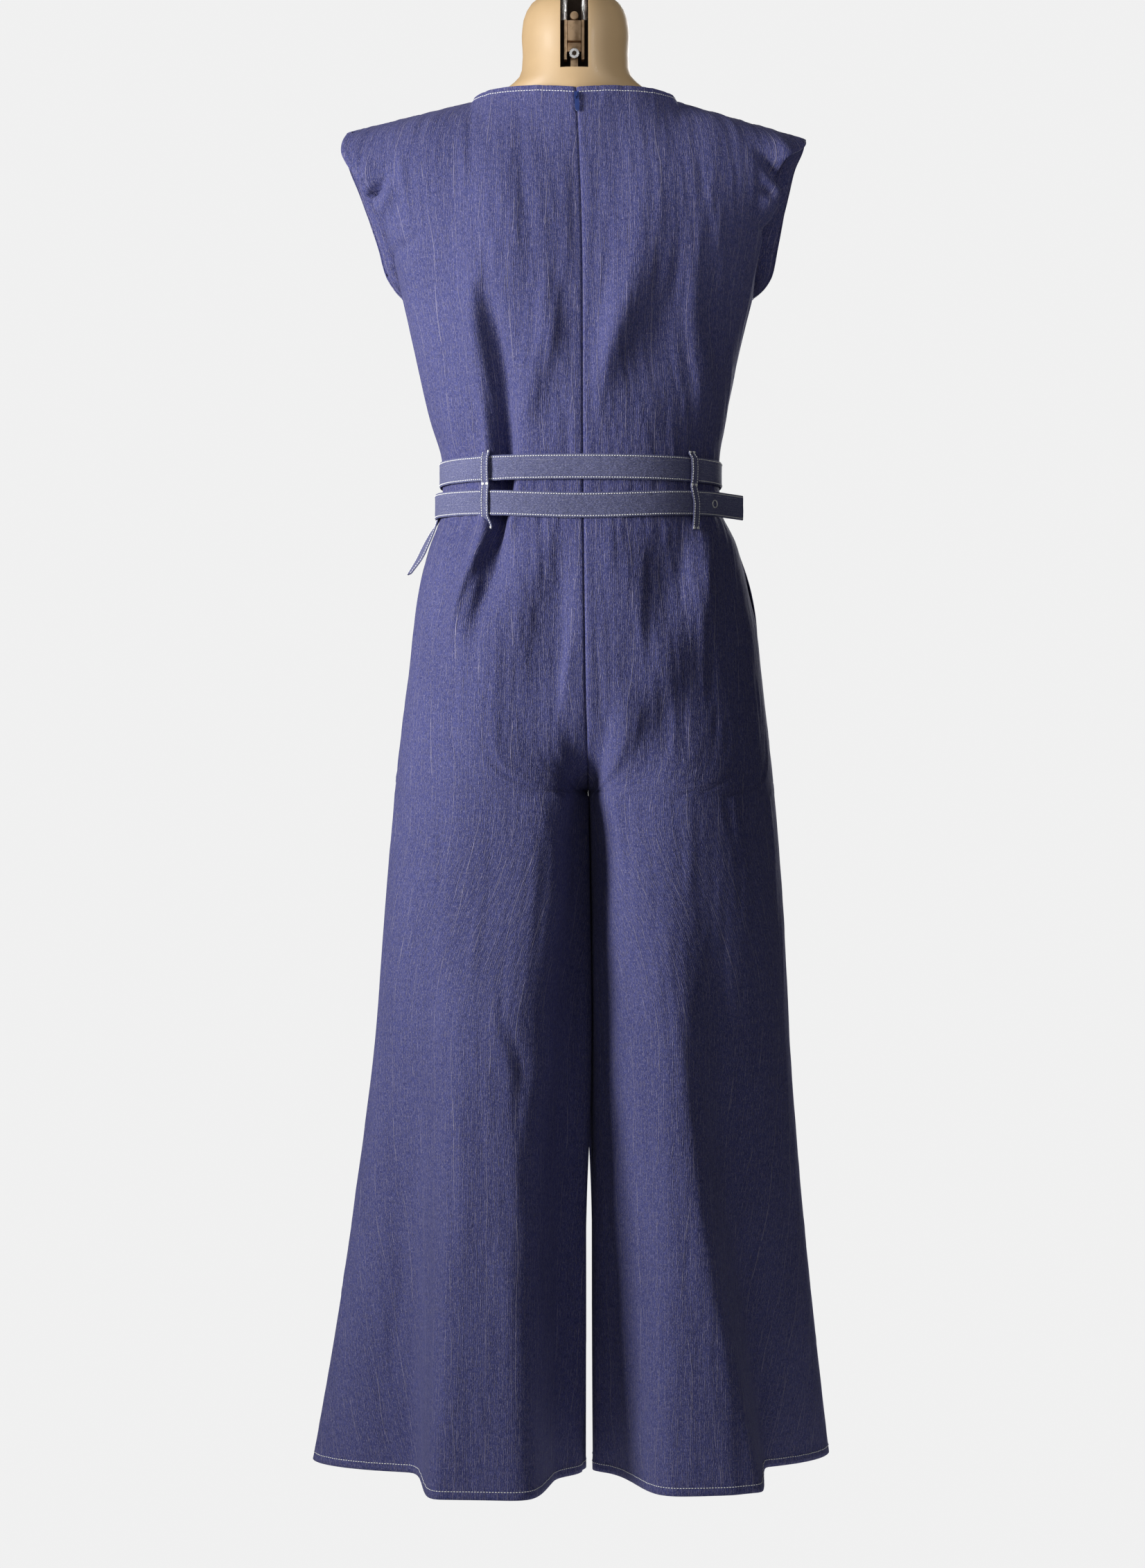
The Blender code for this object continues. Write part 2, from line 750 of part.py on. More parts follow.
def yoke(panel, rows, columns):
    """Rows of the cloth from the underarm level up to the neckline and the shoulder."""
    base = outline(panel, UNDERARM, columns)
    base = np.column_stack([base, np.full(columns, UNDERARM)])
    top = np.array([top_edge(panel, place / (columns - 1)) for place in range(columns)])
    armhole = spaced(np.array(ARMHOLES[panel.name], float), 121)
    share = np.linspace(0.0, 1.0, columns)
    over = smooth((share - 0.1) / 0.55)[:, None]
    rise = np.array([0.0, 0.0, UPRIGHT_PULL])
    bend = over * np.array([0.0, -panel.face * SHOULDER_PULL, 10.0])
    bend = bend + (1 - over) * np.array([0.0, -panel.face * 45.0, 130.0])
    levels = []
    for level in range(1, rows + 1):
        u = 1 - (1 - level / rows) ** YOKE_CROWDING
        place = (1 + 2 * u) * (1 - u) ** 2 * base + u * (1 - u) ** 2 * rise
        place = place + u * u * (3 - 2 * u) * top + u * u * (u - 1) * bend
        centre = place[0] * 1.0
        centre[0] = centre_x(centre[2])
        place = place + (1 - share[:, None]) ** 3 * (centre - place[0])
        place = place + share[:, None] ** 3 * (armhole[round(120 * u)] - place[-1])
        held = smooth(share / 0.08) * smooth((1 - share) / 0.08)
        lifted = fold_offset(panel, place[:, 0], place[:, 2]) * held * (1 - smooth(u))
        place[:, 1] += panel.face * lifted
        levels.append(place)
    return levels


def body_heights():
    crotch = [CROTCH + CROTCH_RISE * share for share in CROTCH_SHARES]
    return [float(z) for z in (*LEG_ROWS, *crotch, *BODY_ROWS)]


def panel_grid(panel):
    """The outer surface of a panel: rows from the hem up, columns from the centre to the side."""
    levels = []
    for z in body_heights():
        line = outline(panel, z, COLUMNS)
        levels.append(np.column_stack([line, np.full(COLUMNS, z)]))
    levels += yoke(panel, YOKE_ROWS, COLUMNS)
    return np.array(levels)


def grid_normals(grid, panel):
    """Outward normals of a panel's grid, from the lines through each point."""
    up = np.gradient(grid, axis=0)
    across = np.gradient(grid, axis=1)
    return unit(np.cross(up, across)) * panel.side * panel.face


def shared_normals(grids):
    """Normals that are equal where two panels meet, so that their walls end face to face."""
    normals = {name: grid_normals(grid, panel_called(name)) for name, grid in grids.items()}
    sums = {}
    for name, grid in grids.items():
        for place, normal in zip(grid.reshape(-1, 3), normals[name].reshape(-1, 3)):
            key = tuple(np.round(place, 3))
            sums[key] = sums.get(key, 0.0) + normal
    for name, grid in grids.items():
        flat = [sums[tuple(np.round(place, 3))] for place in grid.reshape(-1, 3)]
        normals[name] = unit(np.array(flat)).reshape(grid.shape)
    return normals


def panel_called(name):
    return next(panel for panel in PANELS if panel.name == name)


def drawn_in(grid, panel):
    """The grid with its sewn edges drawn in by half a seam gap.

    Left and right panels part along X; back and front panels part along Y, at the inner leg,
    the side seam and the shoulder.
    """
    moved = grid.copy()
    crotch_row = len(LEG_ROWS)
    moved[crotch_row:, 0, 0] += panel.side * SEAM_GAP / 2
    moved[: crotch_row + 1, 0, 1] += panel.face * SEAM_GAP / 2
    moved[:, -1, 1] += panel.face * SEAM_GAP / 2
    moved[-1, 1:-1, 1] += panel.face * SEAM_GAP / 2
    return moved


def pocket_parting(panel, z):
    """How far the edges of the pocket's mouth part: the front edge out, the back edge in."""
    share = np.clip((z - POCKET_FOOT) / (POCKET_TOP - POCKET_FOOT), 0.0, 1.0)
    parting = POCKET_GAPE[panel.side] * np.sin(math.pi * share) ** 2
    return -parting if panel.face < 0 else parting / 3


def add_panels():
    """The four panels that run from the shoulder to the hem."""
    grids = {panel.name: panel_grid(panel) for panel in PANELS}
    normals = shared_normals(grids)
    for panel in PANELS:
        grid, normal = grids[panel.name], normals[panel.name]
        outer = drawn_in(grid, panel)
        parting = pocket_parting(panel, grid[:, -1, 2])[:, None]
        outer[:, -1] -= normal[:, -1] * parting
        outer[:, -2] -= normal[:, -2] * parting * 0.4
        add_wall(panel.name, outer, outer - normal * WALL, "denim")
    return grids, normals


# ---------------------------------------------------------------- what is sewn to the panels


def add_pocket_bags(grids, normals):
    """Two flat layers behind each pocket mouth, lying towards the front."""
    heights = np.array(body_heights())
    rows = np.flatnonzero((heights >= POCKET_BAG_FOOT) & (heights <= POCKET_TOP))
    columns = slice(POCKET_FIRST_COLUMN, COLUMNS - 1)
    for panel in PANELS:
        if panel.face > 0:
            continue
        side = "left" if panel.side > 0 else "right"
        grid, normal = grids[panel.name][rows, columns], normals[panel.name][rows, columns]
        for layer, name in ((0, "front"), (1, "back")):
            outer = grid - normal * (WALL + CLEARANCE + layer * (BAG_WALL + CLEARANCE))
            add_wall(f"pocket_bag_{side}_{name}", outer, outer - normal * BAG_WALL, "denim")


def add_armhole_facings(grids, normals):
    """The strip of facing that shows inside the front edge of each armhole."""
    for panel in PANELS:
        if panel.face > 0:
            continue
        side = "left" if panel.side > 0 else "right"
        rows = slice(len(body_heights()), -1)
        columns = slice(COLUMNS - 3, COLUMNS)
        grid, normal = grids[panel.name][rows, columns], normals[panel.name][rows, columns]
        outer = grid - normal * (WALL + CLEARANCE)
        add_wall(f"armhole_facing_{side}", outer, outer - normal * BAG_WALL, "denim")


def waist_ring(z_low, z_high, clear, count, sag=0.0):
    """A closed line round the unfolded cloth between two heights, from the centre front.

    The sag is how much lower the strap reaches at the centre back than at the sides.
    """
    heights = np.linspace(z_low, z_high, 5)
    turn = np.linspace(0.0, math.pi / 2, 60)
    lines = []
    for panel in (PANELS[2], PANELS[0], PANELS[1], PANELS[3]):
        outer = panel.side * max(abs(half_width(panel, z)) for z in heights)
        reach = panel.face * max(abs(depth(panel, z - sag)) for z in heights)
        x = outer * np.sin(turn) ** (2 / ROUNDNESS)
        y = reach * np.cos(turn) ** (2 / ROUNDNESS)
        line = np.stack([x, y], 1)
        lines.append(line[::-1][:-1] if panel.side * panel.face > 0 else line[:-1])
    ring = np.concatenate(lines + [lines[0][:1]])
    heading = unit(np.gradient(ring, axis=0))
    heading[0] = heading[-1] = (1.0, 0.0)
    ring = ring + clear * np.stack([heading[:, 1], -heading[:, 0]], 1)
    return spaced(ring, count)


def strap(centres, outward):
    """Outer and inner grids of the belt about a line of centres on its inner face."""
    inner = np.array([centres - UP * BELT_WIDTH / 2, centres + UP * BELT_WIDTH / 2])
    return inner + outward * BELT_WALL, inner


def ring_outward(line):
    """Outward directions along a line that runs anticlockwise seen from above."""
    heading = unit(np.gradient(line, axis=0))
    return np.stack([heading[:, 1], -heading[:, 0], np.zeros(len(line))], 1)


def add_upper_turn():
    """The belt's first turn; its ends meet under the buckle."""
    ring = waist_ring(UPPER_TURN_Z - 15, UPPER_TURN_Z + 15, BELT_CLEAR, TURN_POINTS)
    ring[0, 0] += SEAM_GAP / 2
    ring[-1, 0] -= SEAM_GAP / 2
    outward = ring_outward(ring)
    outward[0] = outward[-1] = (0.0, -1.0, 0.0)
    centres = np.column_stack([ring, np.full(TURN_POINTS, UPPER_TURN_Z)])
    add_wall("belt_upper_turn", *strap(centres, outward), "belt_denim")
    return ring


def lower_turn_line(upper_ring):
    """Centres and outward directions of the second turn, up to its free tip."""
    half = BELT_WIDTH / 2 + 0.5
    low, high = LOWER_TURN_Z - half, LOWER_TURN_Z + half
    ring = waist_ring(low, high, BELT_CLEAR, TURN_POINTS, LOWER_TURN_SAG)
    angles = np.linspace(0.0, 360.0, TURN_POINTS)
    stays = angles <= TIP_LEAVES
    ring, over, angles = ring[stays], upper_ring[stays], angles[stays]
    z = UPPER_TURN_Z + (LOWER_TURN_Z - UPPER_TURN_Z) * smooth(angles / DROP_ENDS)
    z = z - LOWER_TURN_SAG * np.exp(-(((angles - 180.0) / 42.0) ** 2))
    outward = ring_outward(ring)
    outward[0] = (0.0, -1.0, 0.0)
    raised = SECOND_LAYER * (1 - smooth((angles - RAISED_UNTIL) / 22.0))
    wider = np.maximum(np.abs(ring), np.abs(over)) * np.sign(ring)
    base = np.where((angles < DROP_ENDS)[:, None], wider, ring)
    line = np.column_stack([base, z]) + outward * raised[:, None]
    heading = unit(line[-1] - line[-2]) * (1.0, 1.0, 0.0)
    tip = line[-1] + heading * TIP_RUN * np.linspace(0.2, 1.0, 5)[:, None]
    line = np.concatenate([line, tip])
    outward = np.concatenate([outward, np.repeat(outward[-1:], 5, axis=0)])
    return line, outward


def add_lower_turn(upper_ring):
    """The second turn of the belt, from the buckle round the back to the free tip."""
    line, outward = lower_turn_line(upper_ring)
    grids = strap(line[1:], outward[1:])
    add_wall("belt_lower_turn", *grids, "belt_denim")


def add_eyelet(upper_ring):
    """The eyelet in the belt's free end."""
    line, outward = lower_turn_line(upper_ring)
    facing = outward[-1]
    seat = (line[-6] + line[-5]) / 2 + facing * (BELT_WALL + SEAM_GAP + EYELET_WIRE)
    add_hoop("belt_eyelet", seat, facing, EYELET_RADIUS, EYELET_WIRE, "steel", sides=16)


def add_tail():
    """The belt's other end, which hangs from under the second turn at the wearer's left."""
    outer, inner = [], []
    for row in TAIL:
        thick = np.array([BELT_WALL - 0.1, 0.0, 0.0])
        front = np.array([row.x + row.yaw, -BELT_WIDTH / 2, row.z])
        back = np.array([row.x - row.yaw, BELT_WIDTH / 2, row.z])
        inner.append([front, back])
        outer.append([front + thick, back + thick])
    add_wall("belt_tail", np.array(outer), np.array(inner), "belt_denim")


def add_buckle(upper_ring):
    """A plain frame buckle with its prong, over both layers at the centre front."""
    y = upper_ring[0][1] - BELT_WALL - SECOND_LAYER - CLEARANCE - BUCKLE_WALL / 2
    corners = ((-1, -1), (1, -1), (1, 1), (-1, 1))
    edge = [(x * BUCKLE_HALF[0], z * BUCKLE_HALF[1]) for x, z in corners]
    hole = [(x * BUCKLE_HOLE_HALF[0], z * BUCKLE_HOLE_HALF[1]) for x, z in corners]
    middle = (0.0, y, UPPER_TURN_Z)
    add_frame_plate("belt_buckle", edge, hole, middle, (1, 0, 0), UP, BUCKLE_WALL, "steel")
    end_x = BUCKLE_HOLE_HALF[0] - CLEARANCE
    start, end = (-end_x, y, UPPER_TURN_Z), (end_x, y, UPPER_TURN_Z)
    add_rod("belt_prong", start, end, PRONG_RADIUS, "steel", sides=8)


def carrier_stops(seat):
    """Heights down a carrier, and how far its inner face stands from the cloth there."""
    over, bulge = CARRIER_REACH, CARRIER_REACH + CARRIER_BULGE
    return (
        (CARRIER_TOP, seat),
        (CARRIER_TOP - 3.5, seat + 0.6),
        (UPPER_TURN_Z + 12.0, over),
        (UPPER_TURN_Z, bulge),
        (UPPER_TURN_Z - 12.5, over),
        (309.0, BELT_CLEAR + 0.9),
        (LOWER_TURN_Z + 11.0, over),
        (LOWER_TURN_Z - 2.0, bulge),
        (LOWER_TURN_Z - 16.0, over),
        (CARRIER_FOOT + 5.0, seat + 1.0),
        (CARRIER_FOOT, seat),
    )


def waist_place(panel, x, z):
    """What a carrier rests on at this x and height of the back, and the outward direction there.

    Beside the straps this is the highest cloth of the folds under the carrier's width.
    """
    strapped = LOWER_TURN_Z - 20.0 < z < UPPER_TURN_Z + 16.0
    low, high = (LOWER_TURN_Z - 14.0, UPPER_TURN_Z + 15.0) if strapped else (z - 1.0, z + 1.0)
    ring = waist_ring(low, high, 0.0, 361, LOWER_TURN_SAG if strapped else 0.0)
    outward = ring_outward(ring)
    behind = np.flatnonzero(ring[:, 1] > 0)
    nearest = behind[int(np.argmin(np.abs(ring[behind, 0] - x)))]
    across = x + CARRIER_WIDTH * np.array([-0.5, 0.0, 0.5])
    raised = 0.0 if strapped else np.max(fold_offset(panel, across, z))
    return np.array([*ring[nearest], z]) + outward[nearest] * raised, outward[nearest]


def add_carriers():
    """The two upright strips that the belt goes through on the back."""
    for carrier in CARRIERS:
        panel = panel_called(f"back_{carrier.side}")
        outer, inner = [], []
        for z, clear in carrier_stops(carrier.seat):
            share = (CARRIER_TOP - z) / (CARRIER_TOP - CARRIER_FOOT)
            x = carrier.top_x + (carrier.foot_x - carrier.top_x) * share
            place, outward = waist_place(panel, x, z)
            across = np.cross(UP, outward) * CARRIER_WIDTH / 2
            middle = place + outward * clear
            inner.append([middle - across, middle + across])
            outer.append([end + outward * CARRIER_WALL for end in inner[-1]])
        add_wall(f"carrier_{carrier.side}", np.array(outer), np.array(inner), "belt_denim")


# ---------------------------------------------------------------- zip


def back_centre(seam, z):
    """The centre back seam's outer point at a height, and the cloth's outward direction."""
    row = int(np.clip(np.searchsorted(seam[:, 2], z), 1, len(seam) - 1))
    low, high = seam[row - 1], seam[row]
    place = low + (high - low) * (z - low[2]) / (high[2] - low[2])
    return place, unit(np.array([0.0, high[2] - low[2], low[1] - high[1]]))


def add_zip_tape(seam):
    """The zip's tape and closed coil behind the centre back seam."""
    outer, inner = [], []
    levels = [z for z in seam[:, 2] if ZIP_FOOT <= z < NECK_BACK_Z - 3.0] + [NECK_BACK_Z - 3.0]
    for z in levels:
        place, outward = back_centre(seam, z)
        near = place - outward * (WALL + CLEARANCE + 0.3)
        far = near - outward * TAPE_WALL
        side = np.array([TAPE_HALF, 0.0, 0.0])
        outer.append([near - side, near + side])
        inner.append([far - side, far + side])
    add_wall("zip_tape", np.array(outer), np.array(inner), "zip_blue")


def add_slider(seam):
    """The zip's slider: a small body with a bridge that holds the pull."""
    place, outward = back_centre(seam, PULL_HINGE_Z)
    along = np.cross((1.0, 0.0, 0.0), outward)
    seat = place + outward * CLEARANCE
    corners = []
    for side in (-SLIDER_HALF_WIDTH, SLIDER_HALF_WIDTH):
        for reach in (0.0, SLIDER_WALL):
            for height in (-SLIDER_HALF_HEIGHT, SLIDER_HALF_HEIGHT):
                corners.append(seat + along * height + outward * reach + np.array([side, 0.0, 0.0]))
    faces = [(0, 1, 3, 2), (4, 6, 7, 5), (0, 4, 5, 1), (2, 3, 7, 6), (0, 2, 6, 4), (1, 5, 7, 3)]
    body = add_mesh("zip_slider", corners, faces, "zip_blue")
    sunk = 0.3  # the bridge's feet go this far into the slider's body
    high, rise = BRIDGE_WINDOW + BRIDGE_POST, BRIDGE_WINDOW + BRIDGE_BEAM
    edge = [(-high, -sunk), (high, -sunk), (high, rise), (-high, rise)]
    top = BRIDGE_WINDOW
    hole = [(-top, 0.0), (top, 0.0), (top, BRIDGE_WINDOW), (-top, BRIDGE_WINDOW)]
    foot = seat + outward * SLIDER_WALL
    width = SLIDER_BRIDGE_WIDTH
    bridge = add_frame_plate("zip_bridge", edge, hole, foot, along, outward, width, "zip_blue")
    bridge.hide_render = True
    bridge.display_type = "WIRE"
    union = body.modifiers.new("bridge", "BOOLEAN")
    union.operation = "UNION"
    union.object = bridge
    return foot + outward * BRIDGE_WINDOW / 2


def add_pull(seam, hinge):
    """The pull: a crossbar under the slider's bridge and a tab that lies along the cloth."""
    under, outward = back_centre(seam, PULL_HINGE_Z - PULL_LENGTH)
    upward = unit(hinge - (under + outward * PULL_CLEAR))
    rows = (
        (PULL_BAR, 1.9),
        (-1.0, 2.1),
        (-5.0, 2.2),
        (-10.0, 2.3),
        (-14.0, PULL_WIDTH / 2),
        (1.5 - PULL_LENGTH, 1.9),
        (-PULL_LENGTH, 0.9),
    )
    eye_foot, eye_half = -5.0, 1.0
    edge = [(half, z) for z, half in rows] + [(-half, z) for z, half in reversed(rows)]
    drops = np.linspace(-PULL_BAR, eye_foot, len(rows))
    hole = [(eye_half, z) for z in drops] + [(-eye_half, z) for z in reversed(drops)]
    pull = add_frame_plate("zip_pull", edge, hole, hinge, (1, 0, 0), upward, PULL_WALL, "zip_blue")
    origin = Vector(to_metres(hinge))
    for vertex in pull.data.vertices:
        vertex.co -= origin
    pull.location = origin
    return pull


# ---------------------------------------------------------------- dress form and fitting


def form_ring(level):
    """The form's outline at one of its levels."""
    middle = FORM_X * smooth((level.z - 500.0) / 200.0)
    turns = np.linspace(0.0, 2 * math.pi, FORM_SIDES, endpoint=False)
    across, back = np.cos(turns), np.sin(turns)
    x = middle + level.half * np.sign(across) * np.abs(across) ** (2 / level.power)
    reach = np.where(back > 0, level.back, level.front)
    y = reach * np.sign(back) * np.abs(back) ** (2 / level.power)
    return np.column_stack([x, y, np.full(FORM_SIDES, level.z)])


def add_form():
    """The limbless dress form, with the slot in the back of its neck."""
    form = add_tube_of_rings("dress_form", [form_ring(level) for level in FORM], "form_skin")
    low = (FITTING_X - SLOT_WIDTH / 2, SLOT_DEPTH_Y, SLOT_FOOT)
    high = (FITTING_X + SLOT_WIDTH / 2, NECK_RADIUS + 20.0, FORM[-1].z + 20.0)
    cutter = add_box("neck_slot_cutter", low, high, "form_skin")
    cutter.hide_render = True
    cutter.display_type = "WIRE"
    cut = form.modifiers.new("neck_slot", "BOOLEAN")
    cut.operation = "DIFFERENCE"
    cut.object = cutter
    return form


def add_fitting():
    """The hanging fitting: lug, screw, plates, block, spacer, knuckle, sleeves, bridge and ring."""
    x, y = FITTING_X, FITTING_Y
    y_low, y_high = y - PLATE_DEPTH / 2, y + PLATE_DEPTH / 2
    lug_top, lug_back = SCREW_Z + 4.0, y_high - 1.0
    lug_low = (x - LUG_HALF, y_low, SLOT_FOOT + SEAM_GAP)
    add_box("fitting_lug", lug_low, (x + LUG_HALF, lug_back, lug_top), "brass")
    screw_start = (x, lug_back + SEAM_GAP, SCREW_Z)
    screw_end = (x, lug_back + SEAM_GAP + SCREW_HEAD, SCREW_Z)
    add_rod("fitting_screw", screw_start, screw_end, SCREW_RADIUS, "steel", sides=16)
    for side, name in ((1, "left"), (-1, "right")):
        near, far = sorted((x + side * PLATE_HALF_GAP, x + side * (PLATE_HALF_GAP + PLATE_WALL)))
        add_box(f"fitting_plate_{name}", (near, y_low, PLATE_FOOT), (far, y_high, PLATE_TOP), "brass")
        sleeve_x = x + side * SLEEVE_HALF_GAP
        foot = (sleeve_x, y, PLATE_TOP + SEAM_GAP)
        head = (sleeve_x, y, BRIDGE_Z - BRIDGE_RADIUS - SEAM_GAP)
        add_rod(f"fitting_sleeve_{name}", foot, head, SLEEVE_RADIUS, "steel")
    inside = PLATE_HALF_GAP - SEAM_GAP
    knuckle_foot = KNUCKLE_Z - KNUCKLE_RADIUS - SEAM_GAP
    block_low = (x - inside, y_low + 1.0, BLOCK_FOOT)
    add_box("fitting_block", block_low, (x + inside, y_high - 1.0, knuckle_foot), "brass")
    spacer_low = (x - inside, y_low + 0.5, lug_top + SEAM_GAP)
    add_box("fitting_spacer", spacer_low, (x + inside, y - 1.0, BLOCK_FOOT - SEAM_GAP), "brass")
    start, end = (x, y - KNUCKLE_HALF, KNUCKLE_Z), (x, y + KNUCKLE_HALF, KNUCKLE_Z)
    add_rod("fitting_knuckle", start, end, KNUCKLE_RADIUS, "brass")
    start, end = (x - BRIDGE_HALF, y, BRIDGE_Z), (x + BRIDGE_HALF, y, BRIDGE_Z)
    add_rod("fitting_bridge", start, end, BRIDGE_RADIUS, "steel")
    ring_middle = (x, y, HANG_HEIGHT)
    add_hoop("hanging_ring", ring_middle, (0, 1, 0), RING_RADIUS, RING_WIRE, "steel")


def clear_scene():
    for body in list(bpy.data.objects):
        bpy.data.objects.remove(body, do_unlink=True)


def main():
    clear_scene()
    grids, normals = add_panels()
    add_pocket_bags(grids, normals)
    add_armhole_facings(grids, normals)
    upper_ring = add_upper_turn()
    add_lower_turn(upper_ring)
    add_eyelet(upper_ring)
    add_tail()
    add_buckle(upper_ring)
    add_carriers()
    seam = grids["back_left"][:, 0]
    add_zip_tape(seam)
    hinge = add_slider(seam)
    add_pull(seam, hinge)
    add_form()
    add_fitting()


main()
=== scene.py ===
"""Looks of the crinkled denim jumpsuit on its hanging dress form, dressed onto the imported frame.

The cloth is four panels, each a thin shell over its solid's form. Its places are worked out in
millimetres, with heights counted from the crotch level, and become metres in the frame's axes
when a mesh is made: the origin is the hanging ring, +X the wearer's left, +Y the back, +Z up.
"""

import logging
import math
from dataclasses import dataclass, field
from enum import Enum
from typing import ClassVar

import bmesh
import bpy
import numpy as np
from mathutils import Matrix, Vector


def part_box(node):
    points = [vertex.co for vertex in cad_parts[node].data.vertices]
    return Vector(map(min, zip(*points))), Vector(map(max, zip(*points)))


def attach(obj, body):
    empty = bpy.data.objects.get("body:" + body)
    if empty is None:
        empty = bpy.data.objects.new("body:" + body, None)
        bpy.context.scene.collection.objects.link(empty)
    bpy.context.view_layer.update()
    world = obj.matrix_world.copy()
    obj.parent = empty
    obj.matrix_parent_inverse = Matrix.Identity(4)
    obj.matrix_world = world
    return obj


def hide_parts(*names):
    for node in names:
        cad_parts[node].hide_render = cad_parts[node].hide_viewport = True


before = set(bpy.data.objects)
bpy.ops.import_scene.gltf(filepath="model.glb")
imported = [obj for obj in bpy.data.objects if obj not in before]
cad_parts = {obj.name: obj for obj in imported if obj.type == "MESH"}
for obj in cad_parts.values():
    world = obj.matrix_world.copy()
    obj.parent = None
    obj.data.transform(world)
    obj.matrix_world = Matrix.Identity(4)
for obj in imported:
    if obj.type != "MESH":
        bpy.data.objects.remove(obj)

logging.basicConfig(level=logging.INFO, format="%(levelname)s %(message)s")
log = logging.getLogger("jumpsuit")

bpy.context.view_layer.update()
BODY = "jumpsuit"
MM = 0.001
RING_MIDDLE = np.array([7.0, 30.0, 890.0])  # the frame's origin, in the garment's millimetres
UP = np.array([0.0, 0.0, 1.0])

Colour = tuple[float, float, float]
Place = tuple[float, float]


# ------------------------------------------------------------------ helpers


def deselect() -> None:
    """Deselect every object."""
    for other in bpy.context.selected_objects:
        other.select_set(False)


def make_active(piece: bpy.types.Object) -> None:
    """Select one object alone and make it active."""
    deselect()
    piece.select_set(True)
    bpy.context.view_layer.objects.active = piece


def apply_modifiers(piece: bpy.types.Object) -> None:
    """Apply an object's modifiers from the first to the last."""
    make_active(piece)
    for modifier in list(piece.modifiers):
        bpy.ops.object.modifier_apply(modifier=modifier.name)


def settle(piece: bpy.types.Object) -> None:
    """Apply an object's place, so that it sits at the origin with its place in its mesh."""
    make_active(piece)
    bpy.ops.object.transform_apply(location=True, rotation=True, scale=True)


def to_metres(points: np.ndarray) -> np.ndarray:
    """Places in the frame's metres.

    Args:
        points: places in the garment's millimetres.

    Returns:
        The same places in metres, counted from the hanging ring.
    """
    return (np.asarray(points, float) - RING_MIDDLE) * MM


def unit(vectors: np.ndarray) -> np.ndarray:
    """The vectors with length 1."""
    vectors = np.asarray(vectors, float)
    return vectors / np.maximum(np.linalg.norm(vectors, axis=-1, keepdims=True), 1e-9)


def smooth(share: np.ndarray | float) -> np.ndarray:
    """0 to 1 with flat ends."""
    share = np.clip(share, 0.0, 1.0)
    return share * share * (3 - 2 * share)


def through(knots: list, values: list, at: np.ndarray | float) -> np.ndarray:
    """Read a smooth curve.

    Args:
        knots: rising places along the curve.
        values: its value at each knot.
        at: one or more places to read.

    Returns:
        The curve's values there.
    """
    knots, values = np.asarray(knots, float), np.asarray(values, float)
    slopes = np.gradient(values, knots)
    at = np.clip(at, knots[0], knots[-1])
    low = np.clip(np.searchsorted(knots, at) - 1, 0, len(knots) - 2)
    step = knots[low + 1] - knots[low]
    u = (at - knots[low]) / step
    start = (1 + 2 * u) * (1 - u) ** 2 * values[low] + u * (1 - u) ** 2 * step * slopes[low]
    return start + u * u * (3 - 2 * u) * values[low + 1] + u * u * (u - 1) * step * slopes[low + 1]


def along(points: np.ndarray) -> np.ndarray:
    """How far along an open line each of its points lies."""
    steps = np.linalg.norm(np.diff(points, axis=0), axis=1)
    return np.concatenate([[0.0], np.cumsum(steps)])


def read_line(knots: np.ndarray, values: np.ndarray, at: np.ndarray | float) -> np.ndarray:
    """A line's rows of values, read in straight steps at places between its knots."""
    return np.stack([np.interp(at, knots, column) for column in values.T], -1)


def spaced(points: np.ndarray, count: int) -> np.ndarray:
    """The same open line with this many points, evenly far apart."""
    run = along(points)
    return read_line(run, points, np.linspace(0.0, run[-1], count))


def ripple(u: np.ndarray, v: np.ndarray, seed: float) -> np.ndarray:
    """Uneven ripples that run along v.

    Args:
        u: places across the ripples, in ripple widths.
        v: places along them, in ripple lengths.
        seed: shifts the pattern.

    Returns:
        Heights from about -1 to 1.
    """
    drift = 1.7 * np.sin(0.61 * v + seed) + 1.1 * np.sin(1.37 * v + 0.31 * u + 2.1 * seed)
    first = np.sin(u + drift)
    second = np.sin(1.63 * u - 0.8 * drift + 1.9 * np.sin(0.83 * v + 1.3 * seed))
    swell = 0.5 + 0.5 * np.sin(0.47 * u + 1.21 * v + 3.7 * seed)
    return (0.6 * first + 0.4 * second) * swell


# ------------------------------------------------------------------ shader maths


class Shade:
    """A shader socket whose operators add Math nodes."""

    def __init__(self, book: "Book", socket: bpy.types.NodeSocket) -> None:
        """Keep the node book and the socket."""
        self.book, self.socket = book, socket

    def _math(self, operation: str, first: "Shade | float", second: "Shade | float") -> "Shade":
        """One Math node on two values."""
        node = self.book.node("ShaderNodeMath", {"operation": operation}, {0: first, 1: second})
        return Shade(self.book, node.outputs[0])

    def __add__(self, other: "Shade | float") -> "Shade":
        """This value plus another."""
        return self._math("ADD", self, other)

    def __sub__(self, other: "Shade | float") -> "Shade":
        """This value less another."""
        return self._math("SUBTRACT", self, other)

    def __rsub__(self, other: float) -> "Shade":
        """A number less this value."""
        return self._math("SUBTRACT", other, self)

    def __mul__(self, other: "Shade | float") -> "Shade":
        """This value times another."""
        return self._math("MULTIPLY", self, other)

    def __abs__(self) -> "Shade":
        """This value without its sign."""
        return self._math("ABSOLUTE", self, 0.0)

    __radd__ = __add__
    __rmul__ = __mul__

    def fraction(self) -> "Shade":
        """The part of this value after its whole number."""
        return self._math("FRACT", self, 0.0)

    def over(self, low: float, high: float) -> "Shade":
        """0 below the low value and 1 above the high one, with a soft rise between."""
        settings = {"interpolation_type": "SMOOTHSTEP"}
        inputs = {"Value": self, "From Min": low, "From Max": high}
        node = self.book.node("ShaderNodeMapRange", settings, inputs)
        return Shade(self.book, node.outputs[0])


